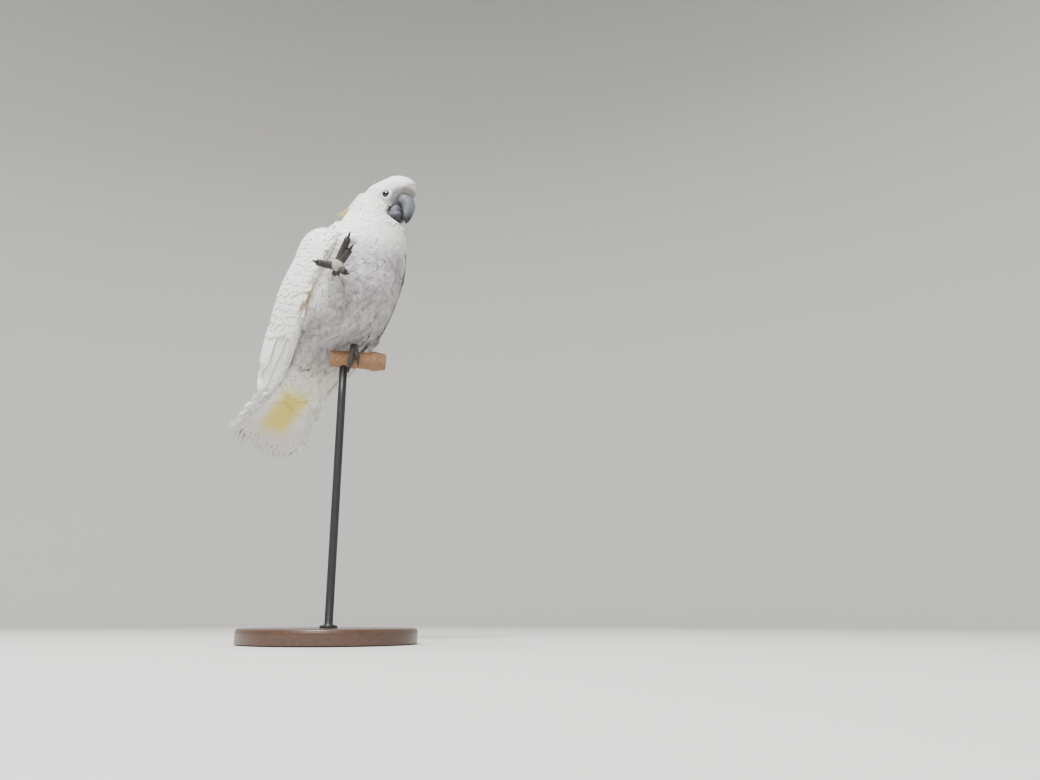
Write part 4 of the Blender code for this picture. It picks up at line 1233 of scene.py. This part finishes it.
def toe_tube(points, top, radius, rows=90, columns=28):
    """A toe: a tube along its middle line, thicker under each joint, with raised scutes across its top and
    rounded pads on its sole. top points out of the scutes."""
    path = curve(points, np.linspace(0, len(points) - 1, rows))
    share = np.linspace(0, 1, rows)[:, None]
    side, upward = frames_along(path, unit(np.cross(np.gradient(path, axis=0)[0], top)))
    angle = turn_steps(columns)
    above = np.cos(angle)
    length = path_length(path)
    scutes = np.abs(np.sin(share * math.pi * length / 0.0023)) ** 0.45
    pads = np.sin(share * math.pi * max(2, round(length / 0.011))) ** 2
    thick = radius * (1.16 - 0.36 * share)
    swell = 1 - 0.05 + 0.05 * scutes * smoothstep(0.1, 0.6, above)
    swell = swell + (0.10 * pads - 0.07) * smoothstep(0.0, -0.8, above)
    closing = np.sqrt(np.clip(1 - np.clip((share - 0.94) / 0.06, 0, 1) ** 2, 0.06, 1))
    ring = thick * swell * closing
    way = upward[:, None] * above[:, None] + side[:, None] * np.sin(angle)[:, None]
    return path[:, None] + ring[..., None] * way


def pad(centre, side, rows=24, columns=32):
    """The fleshy cushion under the foot: a ball pressed flat along the sole's normal."""
    facing = SOLE_FACING if side < 0 else np.array((0, 0, -1.0))
    reach = (0.0105, 0.0085, 0.0052) if side < 0 else (0.0068, 0.0060, 0.0032)
    first = unit(np.cross(facing, (0.2, 0.1, 1.0) if side < 0 else (0.8, 0.6, 0.0)))
    second = np.cross(facing, first)
    lift, angle = ball_steps(rows, columns)
    swell = 1 + 0.06 * np.sin(5 * angle) * np.cos(lift)
    level = np.cos(lift)
    ball = [level * np.cos(angle) * swell, level * np.sin(angle) * swell, np.sin(lift) + 0 * angle]
    shift = facing * (0.0026 if side < 0 else 0.0)
    return centre + shift + sum(b[..., None] * r * d for b, r, d in zip(ball, reach, (first, second, facing)))


def claw_tube(root, direction, down, rows=30, columns=18):
    """A claw: it bends down as a parabola, is deeper than wide, grooved beneath, and ends in a fine point."""
    t = np.linspace(0, 1, rows)
    path = root + np.outer(CLAW_LENGTH * t, direction) + np.outer(CLAW_LENGTH * 0.55 * t * t, down)
    side, upward = frames_along(path, unit(np.cross(direction, down + 1e-6)))
    angle = turn_steps(columns)
    thick = CLAW_RADIUS * (1 - t) ** 0.62 + 0.0002
    round_it = 1 - 0.12 * bump(np.cos(angle), -1, 0.35)
    ring = thick[:, None] * round_it
    return path[:, None] + ring[..., None] * (
        upward[:, None] * np.cos(angle)[:, None] + side[:, None] * 0.86 * np.sin(angle)[:, None])


def left_toes():
    """Middle lines of the standing foot's toes: arcs round the branch, drifting along it."""
    turn = turn_about((0, 0, 1), PERCH_TURN)
    radius = PERCH_RADIUS + TOE_RADIUS + GAP
    for name, length, on_perch, _ in TOES:
        forward = abs(on_perch) < 90
        way = -1 if forward else 1
        drift = -way * 0.8 * math.tan(math.radians(on_perch if forward else on_perch - 180))
        t = np.linspace(-0.1, 1, 12)
        angle = length * t / radius
        line = np.stack((LEFT_FOOT_ALONG + drift * length * t, way * radius * np.sin(angle),
                         radius * np.cos(angle) - PERCH_RADIUS + GAP), 1) @ turn.T
        core = turn @ np.array((LEFT_FOOT_ALONG, 0, -PERCH_RADIUS))
        yield name, line + ORIGIN, unit(line[0] - core), unit(core - line[-1]) * 0.35


def right_toes():
    """Middle lines of the raised foot's toes, spread and cupped towards the sole."""
    up = unit(UP - SOLE_FACING * SOLE_FACING[2])
    left = np.cross(up, SOLE_FACING)
    for name, length, _, turn in TOES:
        way = up * math.cos(math.radians(turn)) + left * math.sin(math.radians(turn))
        t = np.linspace(0, 1, 12)
        line = RIGHT_PALM + np.outer(length * (t - 0.10 * t ** 3), way)
        line = line + np.outer(length * (-0.10 + 0.30 * t + 0.27 * t * t), SOLE_FACING)
        yield name, line + ORIGIN, -SOLE_FACING, SOLE_FACING * 0.8 - way * 0.3


def scaly_material(name, dark, light):
    """Dry scaly skin: dark grey plates about 1.6 mm across, with paler creases, dusted with powder."""
    made, tree, shader = new_material(name, Roughness=0.68, IOR=1.45)
    place = add(tree, "TexCoord").outputs["Object"]
    cells = add(tree, "TexVoronoi", {"Vector": place, "Scale": 620.0}, feature="DISTANCE_TO_EDGE")
    crease = add(tree, "MapRange", {0: cells.outputs["Distance"], 2: 0.16})
    stained = cloud(tree, 0.004, 4.0)
    plates = add(tree, "Mix", {0: stained, 6: rgba(dark), 7: rgba(light)}, data_type="RGBA").outputs[2]
    colour = add(tree, "Mix", {0: crease, 6: rgba(light), 7: plates}, data_type="RGBA").outputs[2]
    dress(tree, shader, crease, 0.00025, 0.8, colour)
    return made


# ---------------------------------------------------------------- properties
def colour_property(name, description, value):
    return FloatVectorProperty(name=name, description=description, subtype="COLOR", size=3, min=0, max=1,
                               default=tuple(linear(value)))


class CockatooPlumage(PropertyGroup):
    density: FloatProperty(name="Density", description="Feathers to each width of the coat", default=1.2,
                           min=0.4, max=1.5)
    looseness: FloatProperty(name="Looseness", description="How far the feathers stand off", default=0.10,
                             min=0, max=1)
    seed: IntProperty(name="Seed", description="Where the feathers' roots fall", default=7, min=0)
    white: colour_property("White", "Most of the coat", "#f8f7f4")
    # Soiled feathers, with painted shade of the underside
    grey: colour_property("Grey", "Lower breast, belly and raised thigh", "#7c757a")
    cream: colour_property("Cream", "Round the vent", "#efe5cc")
    yellow: colour_property("Yellow", "Under the tail, and a wash on the ear and the quills", "#e2d03c")
    pale: colour_property("Pale yellow", "Long feathers of the crest", "#ebe27a")
    # Painted shade on the ends of the tail feathers, strongest beneath
    dusk: colour_property("Dusk", "Ends of the tail feathers", "#cdc8c6")
    stain: colour_property("Stain", "Spot on the right wing's front edge", "#b08a44")
    # Soiled fringe round the bill, and painted shadow under the forehead over the upper bill
    soil_and_shade: colour_property("Soil", "Soiled fringe round the bill", "#463c34")


class CockatooStand(PropertyGroup):
    rod_radius: FloatProperty(name="Rod radius", description="Radius of the stand's rod", default=0.006,
                              unit="LENGTH")


class CockatooStage(PropertyGroup):
    lens: FloatProperty(name="Lens", description="Focal length in millimetres", default=28.9, min=10, max=200)
    distance: FloatProperty(name="Distance", description="Level distance from the camera to the perch",
                            default=1.25, unit="LENGTH")
    drop: FloatProperty(name="Drop", description="Height of the perch's top over the camera", default=0.3928,
                        unit="LENGTH")


def plumage_look(context):
    """The plumage's colours, density and looseness as one dict, and the seed that each piece adds to."""
    chosen = context.scene.cockatoo_plumage
    look = {name: np.array(getattr(chosen, name)) for name in chosen.__annotations__}
    return look, chosen.seed


# ---------------------------------------------------------------- operators
class COCKATOO_OT_skin(Operator):
    """One skin over body, neck, head, thighs, wings and the tail's root, under the coat"""

    bl_idname = "cockatoo.skin"
    bl_label = "Skin"

    def execute(self, context):
        look, _ = plumage_look(context)
        flesh = [tube(grid(skin_of_body, (DOCK_END, BODY_TOP), 200, 96))]
        for side in (1, -1):
            flesh.append(tube(grid(thigh(side), (0, 6), 30, 40)))
            flesh.append(tube(grid(wing_core(side), (3.0, 7.9), 70, 48)))
        material = skin_material()
        vertices, faces = knit(context, flesh, material, SKIN_VOXEL, SKIN_EASING)
        skin = make_object("skin", vertices, faces, material, None, None, markings(vertices, look) * 0.90)
        on_body(skin, "feathers", "trunk", "neck", "head", "thigh_left", "thigh_right", "wing_left",
                "wing_right", "tail")
        return {"FINISHED"}


def skin_material():
    """Pale skin, pimpled where quills leave it, seen only between feathers."""
    made, tree, shader = new_material("Pale skin under the feathers", Roughness=0.6, IOR=1.4)
    colour = add(tree, "VertexColor", layer_name="Plumage").outputs[0]
    dress(tree, shader, cloud(tree, 0.0012, 2.0), 0.0002, 0.5, colour)
    return made


class COCKATOO_OT_coat(Operator):
    """Contour feathers over the head, neck, breast, back and thighs"""

    bl_idname = "cockatoo.coat"
    bl_label = "Body coat"

    def execute(self, context):
        look, seed = plumage_look(context)
        material = feather_material("White contour feathers")
        small = feather_material("White face feathers", 0.6)
        for name, ends, fluff in (("tail_coverts", (3.9, 6.0), 0.25), ("belly", (6.0, 8.4), 0.6),
                                  ("breast", (8.4, 10.6), 0.25), ("neck", (10.6, 13.4), 0.0)):
            on_body(body_coat(f"coat_{name}", ends, look, material, seed + len(name), fluff), "feathers")
        for name, ends in (("nape", (13.4, 17.0)), ("face", (17.0, BODY_TOP - 0.1))):
            piece = body_coat(f"coat_{name}", ends, look, small, seed + len(name), 0.0, 7, HEAD_OUTLINE)
            on_body(piece, "feathers")
        for side in (1, -1):
            on_body(thigh_coat(side, look, material, seed + 6 + side), "feathers")
            for behind in (False, True):
                on_body(side_coat(side, behind, look, material, seed + 12 + side + 4 * behind), "feathers")
        return {"FINISHED"}


class COCKATOO_OT_wings(Operator):
    """Coverts, secondaries and primaries of both folded wings"""

    bl_idname = "cockatoo.wings"
    bl_label = "Wing feathers"

    def execute(self, context):
        look, seed = plumage_look(context)
        material = feather_material("White wing feathers", 1.0)
        for side in (1, -1):
            on_body(wing_feathers(side, look, material, seed + 20 + side), "feathers")
        return {"FINISHED"}


class COCKATOO_OT_tail(Operator):
    """The fanned tail, white above and yellow beneath"""

    bl_idname = "cockatoo.tail"
    bl_label = "Tail feathers"

    def execute(self, context):
        look, seed = plumage_look(context)
        on_body(tail_feathers(look, feather_material("White tail feathers", 1.0), seed + 30), "feathers")
        return {"FINISHED"}


class COCKATOO_OT_crest(Operator):
    """The folded yellow crest"""

    bl_idname = "cockatoo.crest"
    bl_label = "Crest"

    def execute(self, context):
        look, seed = plumage_look(context)
        material = feather_material("Yellow crest feathers", 0.8)
        on_body(crest_feathers(look, material, seed + 40), "crest", "crest")
        return {"FINISHED"}


class COCKATOO_OT_bill(Operator):
    """Both halves of the bill"""

    bl_idname = "cockatoo.bill"
    bl_label = "Bill"

    def execute(self, context):
        upper = horn_material("Powdered horn of the upper bill", "#777b83", "#141416")
        lower = horn_material("Horn of the lower bill", "#5c6067", "#17171a")
        halves = (("upper", UPPER_BILL, upper, True), ("lower", LOWER_BILL, lower, False))
        for name, table, finish, is_upper in halves:
            half = outward(*tube(bill_half(table, 96, 64, is_upper)))
            if not is_upper:
                half = knit(context, [half, tube(ramus())], finish, BILL_VOXEL, BILL_EASING)
            on_body(make_object(f"bill_{name}_horn", *half, finish), "bill", f"bill_{name}")
        return {"FINISHED"}


class COCKATOO_OT_eyes(Operator):
    """Eyes with their bare rings and lids"""

    bl_idname = "cockatoo.eyes"
    bl_label = "Eyes"

    def execute(self, context):
        # A wet cornea over a dark iris: nearly black, with one sharp highlight
        wet, _, _ = new_material("Dark eye under a wet cornea", Roughness=0.05, IOR=1.376, Coat_Weight=1.0,
                                 Coat_Roughness=0.02, Base_Color=rgba("#0d0b0b"))
        # Bare skin: pale and bluish, softly lit from within, finely creased every 0.6 mm
        bare, tree, shader = new_material("Bare skin of the eye ring", Roughness=0.55, IOR=1.4,
                                          Subsurface_Weight=0.1, Subsurface_Radius=(0.002, 0.001, 0.0008))
        spots = cloud(tree, 0.0012)
        tone = add(tree, "Mix", {0: spots, 6: rgba("#b9c4d4"), 7: rgba("#dde3ea")}, data_type="RGBA")
        dress(tree, shader, cloud(tree, 0.0006), 0.0001, 0.5, tone.outputs[2])
        for side in (1, -1):
            on_body(solid(f"eyeball_{SIDES[side]}", eye_surface(side), wet), "eye", f"eye_{SIDES[side]}")
            points = np.swapaxes(eye_ring(side), 0, 1)
            ring = outward(points.reshape(-1, 3), torus_faces(*points.shape[:2]))
            on_body(make_object(f"eye_ring_{SIDES[side]}", *ring, bare), "feathers")
        return {"FINISHED"}


class COCKATOO_OT_feet(Operator):
    """Feet with scaly toes, and their claws"""

    bl_idname = "cockatoo.feet"
    bl_label = "Feet and claws"

    def execute(self, context):
        skin = scaly_material("Dark scaly skin of the feet", "#171719", "#48463f")
        sole = scaly_material("Pale worn skin of the sole", "#7d7a72", "#aaa79c")
        # Horn worn smooth by bark: black with a soft shine, streaked along the foot's height
        claw, tree, shader = new_material("Black horn of the claws", Roughness=0.30, IOR=1.54)
        streaks = cloud(tree, 0.003, 3.0, (1, 1, 0.3))
        tone = add(tree, "Mix", {0: streaks, 6: rgba("#0f0e0f"), 7: rgba("#2b2828")}, data_type="RGBA")
        dress(tree, shader, cloud(tree, 0.0008), 0.0001, 0.4, tone.outputs[2])
        turn = turn_about((0, 0, 1), PERCH_TURN)
        palms = {1: turn @ np.array((LEFT_FOOT_ALONG, 0, TOE_RADIUS + 2 * GAP)), -1: RIGHT_PALM}
        for side, toes in ((1, left_toes()), (-1, right_toes())):
            parts = []
            t = np.linspace(-0.3, 1.08, 12)[:, None]
            shank = ANKLES[side] + (palms[side] - ANKLES[side]) * t + ORIGIN
            top = -SOLE_FACING if side < 0 else turn @ np.array((0, -1.0, 0.2))
            parts.append(tube(toe_tube(shank, top, SHANK_RADIUS, 50)))
            on_body(solid(f"foot_sole_{SIDES[side]}", pad(palms[side] + ORIGIN, side), sole), "foot")
            for name, line, upward, down in toes:
                parts.append(tube(toe_tube(line, upward, TOE_RADIUS * TOE_FULLNESS[side])))
                away = unit(line[-1] - line[-2])
                points = claw_tube(line[-1] - away * 0.0010, away, down)
                which = f"{SIDES[side]}_{name}"
                on_body(solid(f"claw_horn_{which}", points, claw), "claw", f"claw_{which}")
            scales = make_object(f"foot_skin_{SIDES[side]}", *merge(parts), skin)
            on_body(scales, "foot", f"foot_{SIDES[side]}")
        return {"FINISHED"}


class COCKATOO_OT_perch(Operator):
    """The cut branch"""

    bl_idname = "cockatoo.perch"
    bl_label = "Perch"

    def execute(self, context):
        # Dry wood without its bark: matt, with fibres about 0.7 mm apart along the branch
        wood, tree, shader = new_material("Peeled hardwood branch", Roughness=0.72, IOR=1.5)
        grain = cloud(tree, 1 / 1400, 5.0, (0.12, 1, 1), -PERCH_TURN)
        tone = add(tree, "Mix", {0: grain, 6: rgba("#5a3f2b"), 7: rgba("#a9805a")}, data_type="RGBA")
        dress(tree, shader, grain, 0.0004, 0.8, tone.outputs[2])
        turn = turn_about((0, 0, 1), PERCH_TURN)
        share = np.linspace(0, 1, 120)[:, None]
        angle = turn_steps(64)
        along = PERCH_MIDDLE + PERCH_LENGTH * (share - 0.5)
        knot = 0.0026 * bump(along, 0.046, 0.008)
        to_end = np.clip((np.abs(2 * share - 1) - 0.96) / 0.04, 0, 1)
        ridges = 0.00025 * np.sin(5 * angle + 60 * share) + 0.00015 * np.sin(11 * angle - 90 * share + 1)
        radius = (PERCH_RADIUS - 0.0003 + knot + ridges) * (1 - 0.10 * to_end ** 2)
        points = stacked(along, radius * np.cos(angle), radius * np.sin(angle) - PERCH_RADIUS)
        points = points @ turn.T + ORIGIN
        on_body(solid("perch_branch", points, wood), "branch", "perch")
        return {"FINISHED"}


class COCKATOO_OT_stand(Operator):
    """Turned base and rod"""

    bl_idname = "cockatoo.stand"
    bl_label = "Stand"

    def execute(self, context):
        # Turned beech under stain and lacquer: dark with a soft gloss, its grain about 4 mm apart
        wood, tree, shader = new_material("Dark stained beech, satin lacquer", Roughness=0.38, IOR=1.5,
                                          Coat_Weight=0.3)
        grain = cloud(tree, 1 / 260, 6.0, (1, 0.08, 1), 0.0, 0.6)
        tone = add(tree, "Mix", {0: grain, 6: rgba("#2a1b13"), 7: rgba("#5b3f2c")}, data_type="RGBA")
        dress(tree, shader, grain, 0.0002, 0.3, tone.outputs[2])
        # Powder coat baked on steel: satin black, with an orange peel of 0.7 mm
        metal, tree, shader = new_material("Black powder coat on steel", Roughness=0.45, IOR=1.5,
                                           Base_Color=rgba("#1d1d1f"))
        dress(tree, shader, cloud(tree, 0.0007, 2.0), 0.0001, 0.4)
        _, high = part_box("stand_base")
        radius, top = high.x, high.z
        profile = fine_profile(
            (radius - 0.004, 0.0), (radius, 0.0018), (radius, 0.0030), (radius, top - 0.0050),
            (radius - 0.0013, top - 0.0012), (radius - 0.0050, top), (radius * 0.5, top), (0.0130, top),
        )
        on_body(solid("stand_base_turned", lathe(profile, 160), wood), "base", "stand_base")
        low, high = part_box("stand_rod")
        radius = context.scene.cockatoo_stand.rod_radius
        profile = fine_profile(
            (0.0125, low.z - 0.0002), (0.0125, low.z + 0.0024), (0.0116, low.z + 0.0034),
            (radius + 0.0012, low.z + 0.0038), (radius, low.z + 0.0058), (radius, high.z),
        )
        on_body(solid("stand_rod_steel", lathe(profile, 64), metal), "rod", "stand_rod")
        return {"FINISHED"}


def lathe(profile, columns):
    """A profile of radius and height, bottom to top, carried round the upright axis."""
    angle = turn_steps(columns)
    radius, height = profile[:, :1], profile[:, 1:]
    return stacked(radius * np.cos(angle), radius * np.sin(angle), height)


def fine_profile(*corners):
    """A profile with six steps between each corner and the next."""
    steps = [np.linspace(p, q, 6, endpoint=False) for p, q in zip(corners[:-1], corners[1:])]
    return np.vstack((*steps, corners[-1:]))


# The radius of the floor's flat part and of its bend into the wall, and the wall's height
FLOOR_REACH, WALL_BEND, WALL_TOP = 2.4, 1.2, 6.0
# Lamps: name, place, width of the disk, watts
SOFTBOXES = (
    ("Key softbox", (-1.5, -0.9, 2.5), 1.2, 190.0),
    ("Overhead softbox", (-0.3, 0.3, 2.9), 1.6, 85.0),
    ("Fill softbox", (1.2, -2.0, 1.4), 1.8, 3.0),
)
LAMPS_AIM = 0.55  # height of the point that all lamps face
SKY_STRENGTH = 0.15
# The camera's level direction, its pitch up, its turn off that direction, and the point it stands back from
CAMERA_FACING, CAMERA_PITCH, CAMERA_ASIDE = math.radians(-38), math.radians(15.2), math.radians(-11.92)
CAMERA_TARGET = np.array((0.010, -0.006, 0))


class COCKATOO_OT_stage(Operator):
    """Pale floor, soft studio light and the camera"""

    bl_idname = "cockatoo.stage"
    bl_label = "Stage"

    def execute(self, context):
        chosen = context.scene.cockatoo_stage
        # Rolled emulsion paint: pale and matt, with a stipple 10 mm across
        paint, tree, shader = new_material("Matt pale studio paint", Roughness=0.9,
                                           Base_Color=rgba("#c9c8c5"))
        dress(tree, shader, cloud(tree, 0.01, 2.0), 0.0002, 0.2)
        floor = make_object("studio_floor", *sweep(), paint)
        world = bpy.data.worlds.new("Studio")
        context.scene.world = world
        world.use_nodes = True
        light = world.node_tree.nodes["Background"].inputs
        light[0].default_value = rgba("#dfe6ee")
        light[1].default_value = SKY_STRENGTH
        for name, place, size, power in SOFTBOXES:
            lamp = bpy.data.lights.new(name, "AREA")
            lamp.shape = "DISK"
            lamp.size = size
            lamp.energy = power
            holder = bpy.data.objects.new(name, lamp)
            context.scene.collection.objects.link(holder)
            holder.location = place
            shining = np.array((0, 0, LAMPS_AIM)) - np.array(holder.location)
            holder.rotation_euler = Vector(shining).to_track_quat("-Z", "Y").to_euler()
        camera = bpy.data.cameras.new("Camera")
        camera.lens = chosen.lens
        camera.sensor_width = 36
        camera.clip_start = 0.01
        holder = bpy.data.objects.new("Camera", camera)
        context.scene.collection.objects.link(holder)
        level = np.array((-math.sin(CAMERA_FACING), math.cos(CAMERA_FACING), 0))
        holder.location = ORIGIN + CAMERA_TARGET - level * chosen.distance - np.array((0, 0, chosen.drop))
        holder.rotation_euler = (math.pi / 2 + CAMERA_PITCH, 0, CAMERA_FACING + CAMERA_ASIDE)
        context.scene.camera = holder
        return {"FINISHED"}


def sweep():
    """A round floor that curves up into a wall: flat, then a quarter circle, then upright."""
    wall_at = FLOOR_REACH + WALL_BEND
    flat = np.stack((np.linspace(0.02, FLOOR_REACH, 12), np.zeros(12)), 1)
    t = np.linspace(0, math.pi / 2, 24)[1:]
    bend = np.stack((FLOOR_REACH + WALL_BEND * np.sin(t), WALL_BEND - WALL_BEND * np.cos(t)), 1)
    wall = np.stack((np.full(6, wall_at), np.linspace(WALL_BEND + 0.4, WALL_TOP, 6)), 1)
    points = lathe(np.vstack((flat, bend, wall)), 128)
    rows, columns = points.shape[:2]
    vertices = np.vstack((points.reshape(-1, 3), ((0, 0, 0),)))
    hub = cap_faces(np.arange(columns), rows * columns, False)
    faces = np.vstack((grid_faces(rows, columns)[:, ::-1], hub))
    return vertices, faces


class VIEW3D_PT_cockatoo(Panel):
    """Lists the pieces"""

    bl_label = "Cockatoo"
    bl_idname = "VIEW3D_PT_cockatoo"
    bl_space_type = "VIEW_3D"
    bl_region_type = "UI"
    bl_category = "Cockatoo"

    def draw(self, context):
        layout = self.layout
        for group in ("cockatoo_plumage", "cockatoo_stand", "cockatoo_stage"):
            settings = getattr(context.scene, group)
            for name in settings.__annotations__:
                layout.prop(settings, name)
        for operator in OPERATORS:
            layout.operator(operator.bl_idname)


GROUPS = {
    "cockatoo_plumage": CockatooPlumage,
    "cockatoo_stand": CockatooStand,
    "cockatoo_stage": CockatooStage,
}
OPERATORS = (
    COCKATOO_OT_skin, COCKATOO_OT_coat, COCKATOO_OT_wings, COCKATOO_OT_tail, COCKATOO_OT_crest,
    COCKATOO_OT_bill, COCKATOO_OT_eyes, COCKATOO_OT_feet, COCKATOO_OT_perch, COCKATOO_OT_stand,
    COCKATOO_OT_stage,
)


def register():
    for group in GROUPS.values():
        bpy.utils.register_class(group)
    for name, group in GROUPS.items():
        setattr(bpy.types.Scene, name, PointerProperty(type=group))
    for made in (*OPERATORS, VIEW3D_PT_cockatoo):
        bpy.utils.register_class(made)


def unregister():
    for made in (VIEW3D_PT_cockatoo, *reversed(OPERATORS)):
        bpy.utils.unregister_class(made)
    for name, group in GROUPS.items():
        delattr(bpy.types.Scene, name)
        bpy.utils.unregister_class(group)


def main():
    register()
    for operator in OPERATORS:
        group, name = operator.bl_idname.split(".")
        getattr(getattr(bpy.ops, group), name)()


if __name__ == "__main__":
    main()
